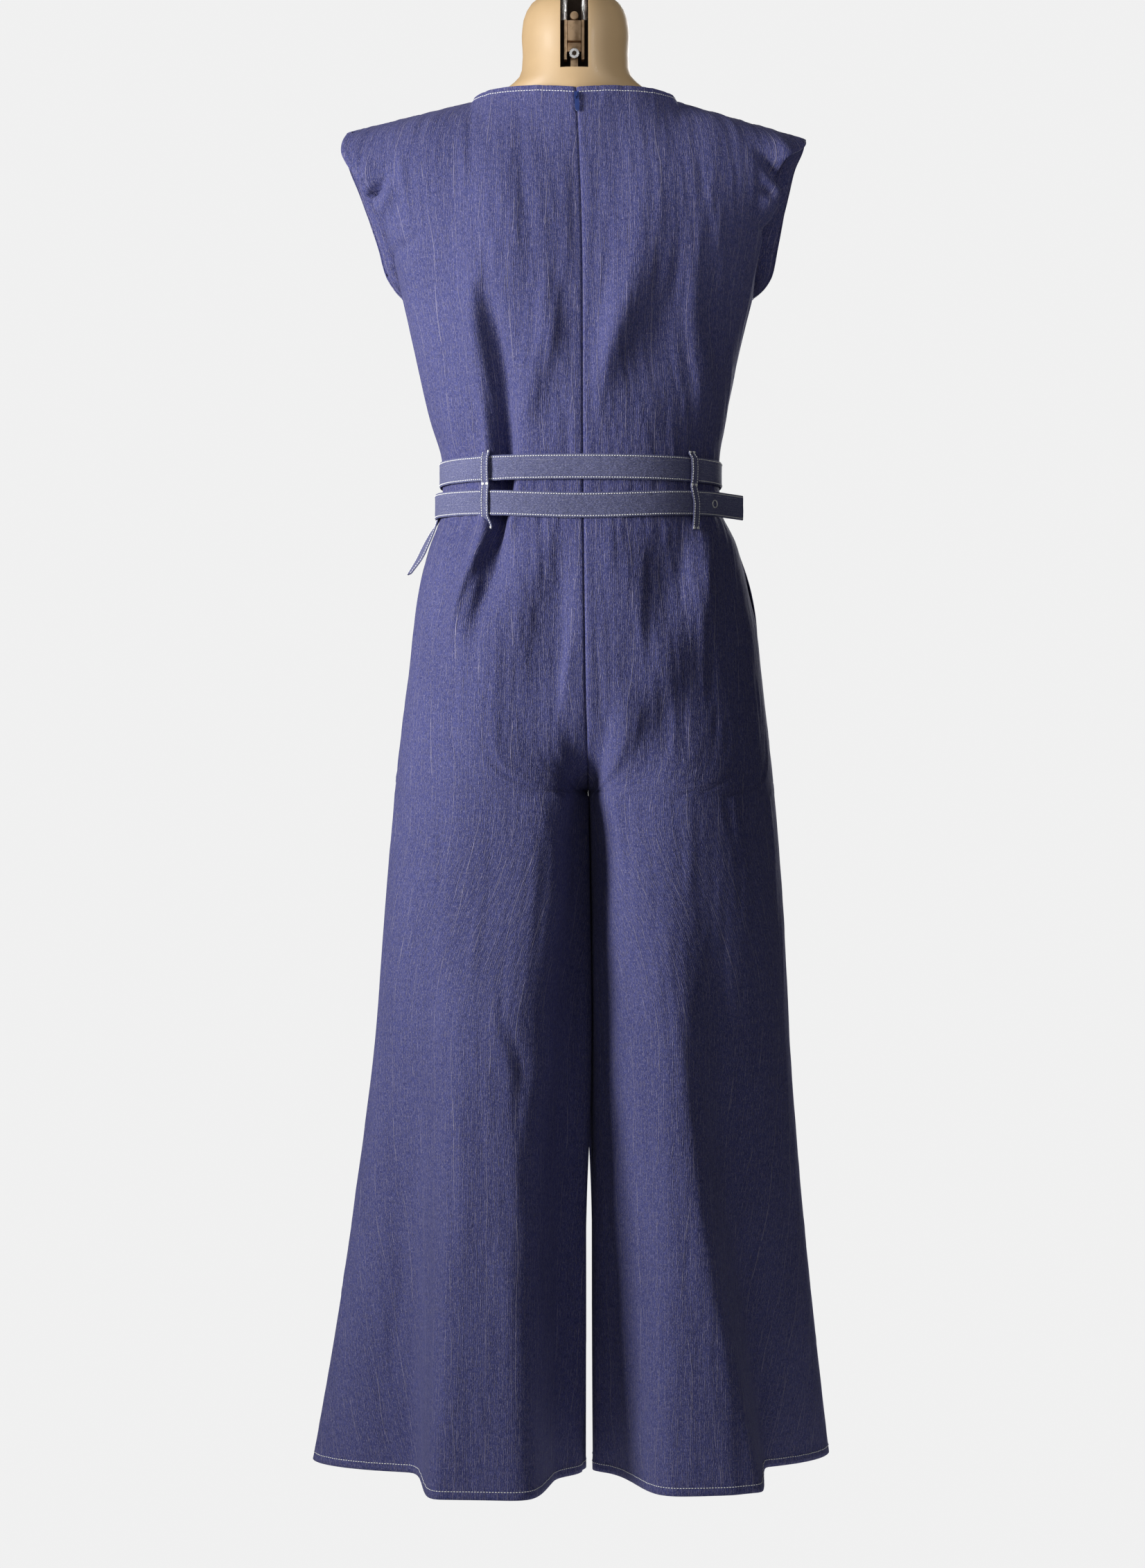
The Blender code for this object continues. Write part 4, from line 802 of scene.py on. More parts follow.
@dataclass(frozen=True)
class Creases:
    """The smaller creases that the photograph shows, and similar ones on the hidden front.

    A fold at the place of one of the cut's folds, with the other sign, levels that fold.
    """

    wander: float = 2.0
    dimples: tuple[Dimple, ...] = (
        Dimple("back_left", -12, (215, 618), (16, 4.5), 50),
        Dimple("back_left", 5, (224, 640), (14, 9), 50),
        Dimple("back_left", 4, (205, 606), (16, 7), 60),
        Dimple("back_left", -3.5, (186, 560), (20, 6), 20),
        Dimple("back_right", -13, (-203, 640), (20, 6), 130),
        Dimple("back_right", -10, (-196, 617), (8, 5), 150),
        Dimple("back_right", 7, (-216, 660), (22, 10), 130),
        Dimple("back_right", 7, (-200, 612), (16, 10), 80),
        Dimple("back_right", -5, (-192, 582), (13, 5), 130),
        Dimple("front_left", -6, (214, 622), (15, 6), 50),
        Dimple("front_left", -3, (184, 560), (20, 7), 20),
        Dimple("front_right", -7, (-205, 628), (16, 6), 130),
        Dimple("front_right", -3, (-180, 570), (18, 7), 155),
    )
    folds: tuple[Fold, ...] = (
        Fold("back_left", 16, (58, 46), (88, 740), (84, 600), (92, 400)),
        Fold("back_left", 6, (12, 12), (118, 600), (106, 480), (96, 380)),
        Fold("back_left", 9, (13, 13), (108, 560), (95, 420), (84, 350)),
        Fold("back_left", 7, (7, 7), (100, 420), (93, 320), (92, 262)),
        Fold("back_left", 7, (7, 7), (78, 420), (68, 320), (68, 262)),
        Fold("back_left", 3, (7, 16), (124, 520), (106, 400), (94, 330)),
        Fold("back_left", 3, (7, 14), (33, 550), (34, 450), (66, 345)),
        Fold("back_left", 3, (10, 10), (26, 470), (34, 410), (44, 352)),
        Fold("back_left", -3, (8, 12), (60, 690), (58, 600), (48, 480)),
        Fold("back_left", 10, (7, 7), (94, 318), (98, 276), (116, 200)),
        Fold("back_left", 10, (7, 7), (72, 318), (76, 276), (96, 200)),
        Fold("back_left", 17, (13, 13), (88, 282), (108, 205), (132, 90)),
        Fold("back_left", -7, (30, 4.5), (80, 292), (107, 218), (126, 130)),
        Fold("back_left", 6, (20, 42), (84, 230), (92, 130), (96, 0)),
        Fold("back_left", 4, (5, 22), (88, 284), (114, 216), (136, 120)),
        Fold("back_left", 4, (12, 30), (26, 284), (56, 184), (66, 40)),
        Fold("back_left", 9, (18, 18), (8, 282), (34, 170), (50, 30)),
        Fold("back_left", -10, (12, 32), (-2, 286), (14, 170), (34, 40)),
        Fold("back_left", 3, (5, 5), (5, 190), (12, 120), (14, 30)),
        Fold("back_left", 6, (78, 16), (126, 60), (140, -330), (166, -1100)),
        Fold("back_left", 22, (20, 36), (28, 66), (36, -30), (50, -1150)),
        Fold("back_left", -2.5, (5, 8), (84, -196), (72, -262), (60, -330)),
        Fold("back_left", 2, (8, 5), (92, -190), (84, -252), (78, -320)),
        Fold("back_left", -2.5, (6, 6), (60, -190), (66, -290), (74, -400)),
        Fold("back_left", -3, (7, 12), (180, -380), (190, -540), (204, -700)),
        Fold("back_left", 9, (42, 46), (88, 100), (88, 8), (94, -140)),
        Fold("back_right", 9, (60, 38), (-92, 740), (-80, 620), (-70, 440)),
        Fold("back_right", 9, (18, 18), (-60, 540), (-28, 420), (-12, 352)),
        Fold("back_right", 5, (28, 15), (-70, 650), (-49, 500), (-12, 384)),
        Fold("back_right", -5, (20, 26), (-104, 640), (-86, 480), (-58, 360)),
        Fold("back_right", 3, (9, 14), (-112, 610), (-119, 490), (-126, 352)),
        Fold("back_right", -3, (8, 10), (-132, 560), (-136, 460), (-134, 350)),
        Fold("back_right", 12, (24, 24), (-26, 290), (-68, 190), (-88, 90)),
        Fold("back_right", 4, (26, 24), (-14, 290), (-48, 208), (-80, 120)),
        Fold("back_right", -10, (17, 44), (-102, 296), (-104, 208), (-110, 118)),
        Fold("back_right", 6, (14, 14), (-130, 300), (-131, 206), (-124, 110)),
        Fold("back_right", 5, (24, 24), (-92, 170), (-80, 108), (-74, 62)),
        Fold("back_right", 4, (14, 12), (-44, 130), (-42, 50), (-26, -40)),
        Fold("back_right", 10, (34, 16), (-34, 60), (-40, -40), (-54, -1100)),
        Fold("back_right", 7, (14, 60), (-108, 0), (-124, -330), (-178, -1100)),
        Fold("back_right", 3, (9, 9), (-146, -300), (-156, -480), (-172, -690)),
        Fold("back_right", 9, (46, 40), (-92, 100), (-90, 8), (-94, -140)),
        Fold("front_left", 6, (44, 40), (96, 700), (88, 560), (84, 420)),
        Fold("front_left", -6, (12, 6), (100, 520), (88, 400), (76, 300)),
        Fold("front_left", 4, (12, 12), (60, 560), (54, 470), (50, 350)),
        Fold("front_left", -4, (9, 9), (34, 520), (30, 430), (28, 350)),
        Fold("front_left", -8, (12, 6), (78, 290), (94, 224), (118, 120)),
        Fold("front_left", 5, (9, 24), (26, 284), (46, 190), (60, 60)),
        Fold("front_left", -5, (12, 9), (8, 284), (24, 200), (40, 80)),
        Fold("front_left", 6, (60, 16), (120, 40), (136, -330), (160, -1100)),
        Fold("front_left", -4, (8, 8), (92, -120), (80, -220), (70, -330)),
        Fold("front_left", 10, (46, 46), (78, 105), (78, 8), (90, -160)),
        Fold("front_right", 5, (40, 40), (-92, 700), (-84, 560), (-80, 420)),
        Fold("front_right", -6, (6, 12), (-104, 520), (-92, 400), (-80, 300)),
        Fold("front_right", 4, (12, 12), (-50, 560), (-48, 470), (-44, 350)),
        Fold("front_right", -8, (6, 12), (-84, 290), (-98, 224), (-122, 120)),
        Fold("front_right", 5, (24, 9), (-24, 284), (-46, 190), (-60, 60)),
        Fold("front_right", 6, (16, 60), (-110, 20), (-124, -330), (-158, -1100)),
        Fold("front_right", 4, (9, 9), (-90, 0), (-86, -120), (-80, -260)),
        Fold("front_right", 10, (46, 46), (-82, 105), (-82, 8), (-92, -160)),
    )

    def shift(self, x: np.ndarray, z: np.ndarray | float) -> np.ndarray:
        """How far a crease strays sideways at each place."""
        return self.wander * np.sin(z / 23.0 + x / 31.0)


@dataclass
class Cloth:
    """The fine surface of the four panels."""

    cut: Cut
    creases: Creases
    columns: int = 96
    row_step: float = 4.2
    yoke_rows: int = 64
    yoke_crowding: float = 1.5
    seam_half_gap: float = 0.15
    thickness: float = 0.0011
    form_gap: float = 2.0
    edge_hold: float = 0.08
    seam_hold: float = 14.0
    seam_roll: float = 1.9
    hem_turn: float = 9.0
    leg_behind: Place = (38.0, -26.0)
    leg_bulge: float = 18.0
    leg_press: float = 14.0
    legs_parted: tuple = ((-680.0, 4.0), (-411.0, 1.4), (-370.0, -0.5), (10.0, -0.5))
    grids: dict[str, np.ndarray] = field(default_factory=dict)
    normals: dict[str, np.ndarray] = field(default_factory=dict)

    def heights(self) -> np.ndarray:
        """The heights of the rows from the hem to the underarm."""
        cut = self.cut
        count = int((cut.underarm - cut.hem) / self.row_step)
        return np.linspace(cut.hem, cut.underarm, count)

    def freed(self, share: np.ndarray) -> np.ndarray:
        """How freely the cloth moves between its centre seam (0) and its side seam (1)."""
        return smooth(share / self.edge_hold) * smooth((1 - share) / self.edge_hold)

    def outline(self, panel: Panel, z: float) -> np.ndarray:
        """The folded outline at one height, with evenly spaced points."""
        cut = self.cut
        plain = cut.plain_outline(panel, z)
        heading = unit(np.gradient(plain, axis=0))
        outward = np.stack([-heading[:, 1], heading[:, 0]], 1) * panel.side * panel.face
        held = self.freed(np.linspace(0.0, 1.0, len(plain)))
        x = plain[:, 0]
        moved = cut.fold_offset(panel, x, z, cut.folds)
        moved = moved + cut.fold_offset(panel, x + self.creases.shift(x, z), z, self.creases.folds)
        placed = plain + outward * (moved * held)[:, None]
        placed[:, 1] += panel.face * cut.flute_offset(panel, x, z) * held
        return spaced(placed, self.columns)

    def yoke(self, panel: Panel) -> list[np.ndarray]:
        """Rows from the underarm level up to the neckline and the shoulder."""
        cut, columns = self.cut, self.columns
        plain = spaced(cut.plain_outline(panel, cut.underarm), columns)
        base = np.column_stack([plain, np.full(columns, cut.underarm)])
        top = np.array([cut.top_edge(panel, place / (columns - 1)) for place in range(columns)])
        armhole = np.array(cut.armholes[panel.name], float)
        run = along(armhole)
        share = np.linspace(0.0, 1.0, columns)
        over = smooth((share - 0.1) / 0.55)[:, None]
        rise = np.array([0.0, 0.0, cut.upright_pull])
        bend = over * np.array([0.0, -panel.face * cut.shoulder_pull, 10.0])
        bend = bend + (1 - over) * np.array([0.0, -panel.face * 45.0, 130.0])
        rounded = np.stack([
            np.convolve(np.pad(top[:, axis], 12, mode="edge"), np.ones(25) / 25, mode="valid")
            for axis in range(3)
        ], 1)
        rows = []
        for level in range(1, self.yoke_rows + 1):
            u = 1 - (1 - level / self.yoke_rows) ** self.yoke_crowding
            place = (1 + 2 * u) * (1 - u) ** 2 * base + u * (1 - u) ** 2 * rise
            place = place + u * u * (3 - 2 * u) * (rounded + (top - rounded) * u ** 6)
            place = place + u * u * (u - 1) * bend
            centre = place[0].copy()
            centre[0] = cut.level("centre", centre[2])
            edge = np.array([through(run, armhole[:, axis], u * run[-1]) for axis in range(3)])
            place = place + (1 - share[:, None]) ** 3 * (centre - place[0])
            place = place + share[:, None] ** 3 * (edge - place[-1])
            x, z = place[:, 0], place[:, 2]
            folded = cut.fold_offset(panel, x, z, cut.folds) * (1 - smooth(u))
            small = cut.fold_offset(panel, x + self.creases.shift(x, z), z, self.creases.folds)
            small = small * (1 - smooth((u - 0.6) / 0.4))
            place[:, 1] += panel.face * (folded + small) * self.freed(share)
            rows.append(place)
        return rows

    def normals_of(self, grid: np.ndarray, panel: Panel) -> np.ndarray:
        """Outward normals of a grid."""
        up, across = np.gradient(grid, axis=0), np.gradient(grid, axis=1)
        return unit(np.cross(up, across)) * panel.side * panel.face

    def finished_grid(self, panel: Panel) -> np.ndarray:
        """The panel's grid with its ripples, rolled seams, turned hem and pocket mouth."""
        rows = [np.column_stack([self.outline(panel, z), np.full(self.columns, z)])
                for z in self.heights()]
        grid = np.array(rows + self.yoke(panel))
        normal = self.normals_of(grid, panel)
        run = np.array([along(row) for row in grid])
        from_side = run[:, -1:] - run
        z = grid[:, :, 2]
        seed = 1.7 * panel.side + 0.9 * panel.face
        held = smooth(run / self.seam_hold) * smooth(from_side / self.seam_hold)
        held = held * smooth((z - self.cut.hem) / 20.0)
        waist = np.exp(-(((z - 300.0) / 60.0) ** 2))
        lift = 0.8 * ripple(run / 4.6, z / 46.0, seed) + 0.45 * ripple(run / 2.1, z / 21.0,
                                                                       seed + 2)
        lift = lift + 1.3 * waist * ripple(run / 3.4, z / 34.0, seed + 4) * (np.abs(z - 309) > 30)
        lift = lift * held
        lift -= 1.1 * np.exp(-((run / self.seam_roll) ** 2)) * smooth((z - 34.0) / 30.0)
        lift -= 0.7 * np.exp(-((from_side / self.seam_roll) ** 2))
        for dimple in self.creases.dimples:
            if dimple.panel == panel.name:
                lift += dimple.lift(grid[:, :, 0], z) * smooth((z - self.cut.underarm) / 12.0)
        turned = self.cut.hem + self.hem_turn
        pucker = np.sin(run / 3.1 + 2 * np.sin(run / 17.0)) * np.exp(-(((z - turned) / 7.0) ** 2))
        lift += 0.35 * pucker + 0.4 * smooth((turned + 0.5 - z) / 2.0)
        grid = grid + normal * lift[:, :, None]
        foot, top = self.cut.pocket_foot, self.cut.pocket_top
        share = np.clip((z[:, -1] - foot) / (top - foot), 0, 1)
        parting = (2.0 if panel.side > 0 else 4.0) * np.sin(math.pi * share) ** 2
        parting = -parting if panel.face < 0 else parting / 3
        reach = np.exp(-((from_side / 9.0) ** 2))
        grid = grid + normal * (parting[:, None] * reach)[:, :, None] * -1.0
        return self.drawn_in(self.pressed(self.clear_of_form(grid, panel), panel), panel)

    def pressed(self, grid: np.ndarray, panel: Panel) -> np.ndarray:
        """The grid with the legs' inner sides hanging together, the left one behind the right."""
        cut = self.cut
        z = grid[:, 0, 2]
        parted = through(*zip(*self.legs_parted), z)
        gap = np.minimum(parted, cut.level("half_gap", z))
        limit = cut.level("centre", z) + panel.side * gap
        behind = self.leg_behind[0 if panel.side > 0 else 1]
        run = np.array([along(row) for row in grid])
        bulge = np.exp(-(((grid[:, :, 1] - behind) / self.leg_bulge) ** 2))
        bulge = bulge * smooth((90.0 - run) / 40.0) * (z < cut.crotch)[:, None]
        reach = np.clip(panel.side * (grid[:, :, 0] - limit[:, None]), 0.0, self.leg_press)
        grid[:, :, 0] -= panel.side * bulge * reach
        return grid

    def clear_of_form(self, grid: np.ndarray, panel: Panel) -> np.ndarray:
        """The grid with its troughs kept outside the dress form."""
        rings = DressForm.rings
        x, z = grid[:, :, 0], grid[:, :, 2]
        knots = [row[0] for row in rings]
        half, deep, power = (
            through(knots, [row[i] for row in rings], z) for i in (1, 2 if panel.face > 0 else 3, 4)
        )
        share = np.clip(np.abs(x - DressForm.centre(z)) / half, 0.0, 1.0)
        surface = (deep + self.form_gap) * (1 - share ** power) ** (1 / power)
        inside = (share < 1.0) & (z > rings[0][0])
        depth = grid[:, :, 1] * panel.face
        grid[:, :, 1] = np.where(inside & (depth < surface), surface, depth) * panel.face
        return grid

    def drawn_in(self, grid: np.ndarray, panel: Panel) -> np.ndarray:
        """The grid with its sewn edges drawn in by half a seam gap."""
        crotch_row = int(np.searchsorted(self.heights(), self.cut.crotch))
        grid[crotch_row:, 0, 0] += panel.side * self.seam_half_gap
        grid[:crotch_row, 0, 1] += panel.face * self.seam_half_gap
        grid[:, -1, 1] += panel.face * self.seam_half_gap
        grid[-1, 1:-1, 1] += panel.face * self.seam_half_gap
        return grid

    def grain(self, grid: np.ndarray, panel: Panel) -> np.ndarray:
        """UV places in metres: U from the panel's middle line across the grain, V along it."""
        run = np.array([along(row) for row in grid])
        places = []
        for row, length in zip(grid, run):
            straight = 95.0 - 60.0 * smooth((row[:, 2].mean() + 260.0) / 240.0)
            order = np.argsort(row[:, 0] * panel.side)
            places.append(np.interp(straight, row[order, 0] * panel.side, length[order]))
        u = run - np.array(places)[:, None]
        rise = np.linalg.norm(np.diff(grid, axis=0), axis=2)
        v = np.concatenate([np.zeros((1, grid.shape[1])), np.cumsum(rise, axis=0)])
        v = v * 0.35 + v.mean(axis=1, keepdims=True) * 0.65
        return np.stack([u * MM + 0.7 * panel.side + 0.3 * panel.face, v * MM], 2)

    def add_panel(self, panel: Panel, cupboard: Cupboard) -> bpy.types.Object:
        """Make one panel's shell and dress it."""
        grid = self.finished_grid(panel)
        self.grids[panel.name] = grid
        self.normals[panel.name] = self.normals_of(grid, panel)
        shell = add_sheet(f"cloth_{panel.name}", grid, self.grain(grid, panel),
                          panel.side * panel.face > 0)
        thicken(shell, self.thickness)
        cupboard.dress(shell, "denim", Finish.DENIM)
        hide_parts(panel.name)
        return shell

    def line_at(self, name: str, rows: np.ndarray, columns: np.ndarray) -> tuple[np.ndarray,
                                                                                 np.ndarray]:
        """Places and normals of a panel at fractional rows and columns."""
        grids = (self.grids[name], self.normals[name])
        return tuple(read_grid(grid, rows, columns) for grid in grids)


def read_grid(grid: np.ndarray, rows: np.ndarray, columns: np.ndarray) -> np.ndarray:
    """A grid's values at fractional rows and columns."""
    rows = np.clip(rows, 0, grid.shape[0] - 1.001)
    columns = np.clip(columns, 0, grid.shape[1] - 1.001)
    r, c = rows.astype(int), columns.astype(int)
    a, b = (rows - r)[:, None], (columns - c)[:, None]
    low = grid[r, c] * (1 - b) + grid[r, c + 1] * b
    high = grid[r + 1, c] * (1 - b) + grid[r + 1, c + 1] * b
    return low * (1 - a) + high * a


def add_sheet(name: str, grid: np.ndarray, places: np.ndarray, flip: bool) -> bpy.types.Object:
    """Add a flat grid and lay it on a surface.

    Args:
        name: the piece's name.
        grid: rows and columns of places in millimetres.
        places: the same rows and columns of UV places in metres.
        flip: turns the faces round.

    Returns:
        The sheet.
    """
    rows, columns = grid.shape[:2]
    deselect()
    bpy.ops.mesh.primitive_grid_add(x_subdivisions=columns - 1, y_subdivisions=rows - 1, size=1.0)
    sheet = bpy.context.object
    sheet.name = name
    sheet.data.name = name
    sheet.data.vertices.foreach_set("co", to_metres(grid.reshape(-1, 3)).astype(np.float32).ravel())
    if flip:
        sheet.data.flip_normals()
    corners = np.zeros(len(sheet.data.loops), np.int32)
    sheet.data.loops.foreach_get("vertex_index", corners)
    layer = sheet.data.uv_layers[0]
    layer.uv.foreach_set("vector", places.reshape(-1, 2)[corners].astype(np.float32).ravel())
    sheet.data.update()
    return sheet


def thicken(sheet: bpy.types.Object, thickness: float) -> None:
    """Give a sheet its wall, towards its inner side, in metres."""
    wall = sheet.modifiers.new("cloth", "SOLIDIFY")
    wall.thickness, wall.offset = thickness, -1.0
    apply_modifiers(sheet)
    sheet.data.shade_smooth()


def add_loft(name: str, rings: np.ndarray, places: np.ndarray | None = None) -> bpy.types.Object:
    """Make a body through rings.

    Args:
        name: the piece's name.
        rings: levels of equally many places round each ring, in millimetres.
        places: UV places in metres of each point, where a pattern follows the surface.

    Returns:
        The body, with capped ends.
    """
    levels, sides = rings.shape[:2]
    points = to_metres(rings.reshape(-1, 3))
    faces = []
    for level in range(levels - 1):
        start, following = level * sides, (level + 1) * sides
        for place in range(sides):
            other = (place + 1) % sides
            faces.append((start + place, start + other, following + other, following + place))
    faces.append(tuple(range(sides - 1, -1, -1)))
    faces.append(tuple(range((levels - 1) * sides, levels * sides)))
    mesh = bpy.data.meshes.new(name)
    mesh.from_pydata([tuple(point) for point in points], [], faces)
    body = bpy.data.objects.new(name, mesh)
    bpy.context.collection.objects.link(body)
    if places is not None:
        corners = np.zeros(len(mesh.loops), np.int32)
        mesh.loops.foreach_get("vertex_index", corners)
        layer = mesh.uv_layers.new(name="UVMap")
        layer.uv.foreach_set("vector", places.reshape(-1, 2)[corners].astype(np.float32).ravel())
    make_active(body)
    bpy.ops.object.mode_set(mode="EDIT")
    bpy.ops.mesh.select_all(action="SELECT")
    bpy.ops.mesh.normals_make_consistent(inside=False)
    bpy.ops.object.mode_set(mode="OBJECT")
    bpy.ops.object.shade_smooth_by_angle(angle=math.radians(42))
    return body


@dataclass
class ArmholeFacings:
    """The turned-in strips that show inside the front edge of each armhole."""

    cloth: Cloth
    cupboard: Cupboard
    widths: dict[str, tuple] = field(default_factory=lambda: {
        "left": ((0.0, 6.0), (0.2, 20.0), (0.5, 25.0), (0.8, 20.0), (1.0, 8.0)),
        "right": ((0.0, 6.0), (0.22, 22.0), (0.42, 34.0), (0.6, 20.0), (0.8, 22.0), (1.0, 8.0)),
    })
    across: int = 12
    count: int = 220
    lean: Place = (0.95, 0.31)
    sunk: float = 1.3
    thickness: float = 0.001
    seams: dict[str, float] = field(default_factory=lambda: {"left": 545.0, "right": 570.0})

    def strip(self, side: str) -> None:
        """Make one strip: it leans back from the armhole's front edge into the opening."""
        sign = 1 if side == "left" else -1
        edge = self.cloth.grids[f"front_{side}"][len(self.cloth.heights()):-1, -1]
        edge = spaced(edge, self.count)
        run = along(edge)
        share = run / run[-1]
        stops = self.widths[side]
        width = through([stop[0] for stop in stops], [stop[1] for stop in stops], share)
        reach = np.linspace(0.0, 1.0, self.across)
        lean = np.array([-sign * self.lean[0], self.lean[1], 0.0])
        out = np.array([sign * self.lean[1], self.lean[0], 0.0])
        sag = 3.2 * np.sin(math.pi * reach)[None, :] + 1.1 * ripple(
            run[:, None] / 9.0 + 3 * reach[None, :], 2.0 * reach[None, :], 5.0 * sign
        ) * np.sin(math.pi * reach)[None, :]
        grid = edge[:, None] + lean * (width[:, None] * reach[None, :])[:, :, None]
        slant = grid[:, :, 2] - self.seams[side] - 0.5 * width[:, None] * reach[None, :]
        sag = sag - 1.6 * np.exp(-((slant / 1.5) ** 2)) + 0.7 * np.exp(-(((slant + 3.4)
                                                                          / 1.6) ** 2))
        grid = grid + out * sag[:, :, None] + np.array([-sign * self.sunk, 0.4, 0.0])
        places = np.stack(np.broadcast_arrays(reach[None, :] * 0.025, run[:, None] * MM), 2)
        strip = add_sheet(f"facing_{side}", grid, places, sign < 0)
        thicken(strip, self.thickness)
        self.cupboard.dress(strip, "denim", Finish.DENIM)
        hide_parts(f"armhole_facing_{side}")

    def build(self) -> None:
        """Make both strips."""
        for side in ("left", "right"):
            self.strip(side)


# ------------------------------------------------------------------ topstitching


@dataclass
class Stitcher:
    """Lays rows of single stitches on the cloth."""

    cupboard: Cupboard
    pitch: float = 3.0
    share: float = 0.8
    width: float = 0.95
    thickness: float = 0.8
    lift: float = 0.22
    look: float = 0.6
    template: tuple = ()

    def __post_init__(self) -> None:
        """Model one stitch: a slender spindle, 1 long, with its flat side down."""
        deselect()
        bpy.ops.mesh.primitive_uv_sphere_add(segments=6, ring_count=4, radius=0.5)
        stitch = bpy.context.object
        corners = np.array([vertex.co[:] for vertex in stitch.data.vertices])
        corners = corners[:, [2, 0, 1]]
        faces = [tuple(face.vertices) for face in stitch.data.polygons]
        bpy.data.objects.remove(stitch, do_unlink=True)
        self.template = (corners, faces)

    def row(self, name: str, lines: list[tuple[np.ndarray, np.ndarray]],
            pitch: float | None = None, width: float | None = None,
            thread: str = "thread") -> bpy.types.Object:
        """Sew rows of stitches and join them into one piece.

        Args:
            name: the piece's name.
            lines: each row's places and outward normals, in millimetres.
            pitch: a stitch's length with its gap.
            width: the thread's width.
            thread: the thread's finish.

        Returns:
            The stitches.
        """
        pitch, width = pitch or self.pitch, width or self.width
        corners, faces = self.template
        points, all_faces = [], []
        for line, normals in lines:
            run = along(line)
            count = max(1, int(run[-1] / pitch))
            middles = (np.arange(count) + 0.5) * run[-1] / count
            place = read_line(run, line, middles)
            ahead = read_line(run, line, middles + self.look)
            behind = read_line(run, line, middles - self.look)
            facing = unit(read_line(run, normals, middles))
            heading = unit(ahead - behind)
            across = unit(np.cross(facing, heading))
            facing = np.cross(heading, across)
            length = run[-1] / count * self.share
            for spot, forward, side, out in zip(place, heading, across, facing):
                base = len(points) * len(corners)
                shape = corners[:, :1] * forward * length + corners[:, 1:2] * side * width
                shape = shape + corners[:, 2:3] * out * width * self.thickness
                points.append(shape + out * width * self.lift + spot)
                all_faces += [tuple(base + corner for corner in face) for face in faces]
        mesh = bpy.data.meshes.new(name)
        mesh.from_pydata([tuple(p) for p in to_metres(np.concatenate(points))], [], all_faces)
        mesh.shade_smooth()
        piece = bpy.data.objects.new(name, mesh)
        bpy.context.collection.objects.link(piece)
        self.cupboard.dress(piece, thread)
        log.info("%s: %d stitches", name, len(points))
        return piece


@dataclass
class GarmentStitching:
    """The topstitching of the hem and the neckline in white thread, and of the armholes in dark
    blue.
    """

    cloth: Cloth
    stitcher: Stitcher
    hem_rise: float = 8.2
    neck_drop: float = 6.0
    armhole_inset: float = 6.0
    neck_window: int = 40
    armhole_window: int = 20
    armhole_points: int = 160

    def hem(self) -> None:
        """One row above each leg's hem."""
        heights = self.cloth.heights()
        row = self.hem_rise / (heights[1] - heights[0])
        count = self.cloth.columns
        for side in ("left", "right"):
            lines = []
            for face in ("back", "front"):
                columns = np.linspace(0.4, count - 1.4, count * 3)
                rows = np.full(len(columns), row)
                lines.append(self.cloth.line_at(f"{face}_{side}", rows, columns))
            self.stitcher.row(f"stitches_hem_{side}", lines)

    def neckline(self) -> None:
        """One row round the neckline, below its edge."""
        lines = []
        last = int(self.cloth.cut.neck_share * (self.cloth.columns - 1))
        columns = np.linspace(0.6, last, last * 3)
        for name in self.cloth.grids:
            lines.append(self._inset_from_top(name, columns, self.neck_drop))
        self.stitcher.row("stitches_neckline", lines)

    def _inset_from_top(self, name: str, columns: np.ndarray, drop: float) -> tuple:
        """The line that lies a given way below the panel's top edge."""
        grid, window = self.cloth.grids[name], self.neck_window
        top_rows = np.arange(len(grid) - window, float(len(grid)))
        rows = []
        for column in columns:
            run = along(read_grid(grid, top_rows, np.full(window, column))[::-1])
            rows.append(len(grid) - 1 - np.interp(drop, run, np.arange(window)))
        return self.cloth.line_at(name, np.array(rows), columns)

    def armholes(self) -> None:
        """One row round each armhole, inside its edge."""
        cloth, window = self.cloth, self.armhole_window
        start = len(cloth.heights()) - 1
        last_columns = np.arange(float(cloth.columns - window), cloth.columns)
        for side in ("left", "right"):
            lines = []
            for face in ("back", "front"):
                grid = cloth.grids[f"{face}_{side}"]
                rows = np.linspace(start + 2, len(grid) - 2, self.armhole_points)
                columns = []
                for row in rows:
                    run = along(read_grid(grid, np.full(window, row), last_columns)[::-1])
                    inset = np.interp(self.armhole_inset, run, np.arange(window))
                    columns.append(cloth.columns - 1 - inset)
                lines.append(cloth.line_at(f"{face}_{side}", rows, np.array(columns)))
            self.stitcher.row(f"stitches_armhole_{side}", lines, width=0.5, thread="dark_thread")

    def build(self) -> None:
        """Sew every row."""
        self.hem()
        self.neckline()
        self.armholes()


# ------------------------------------------------------------------ belt


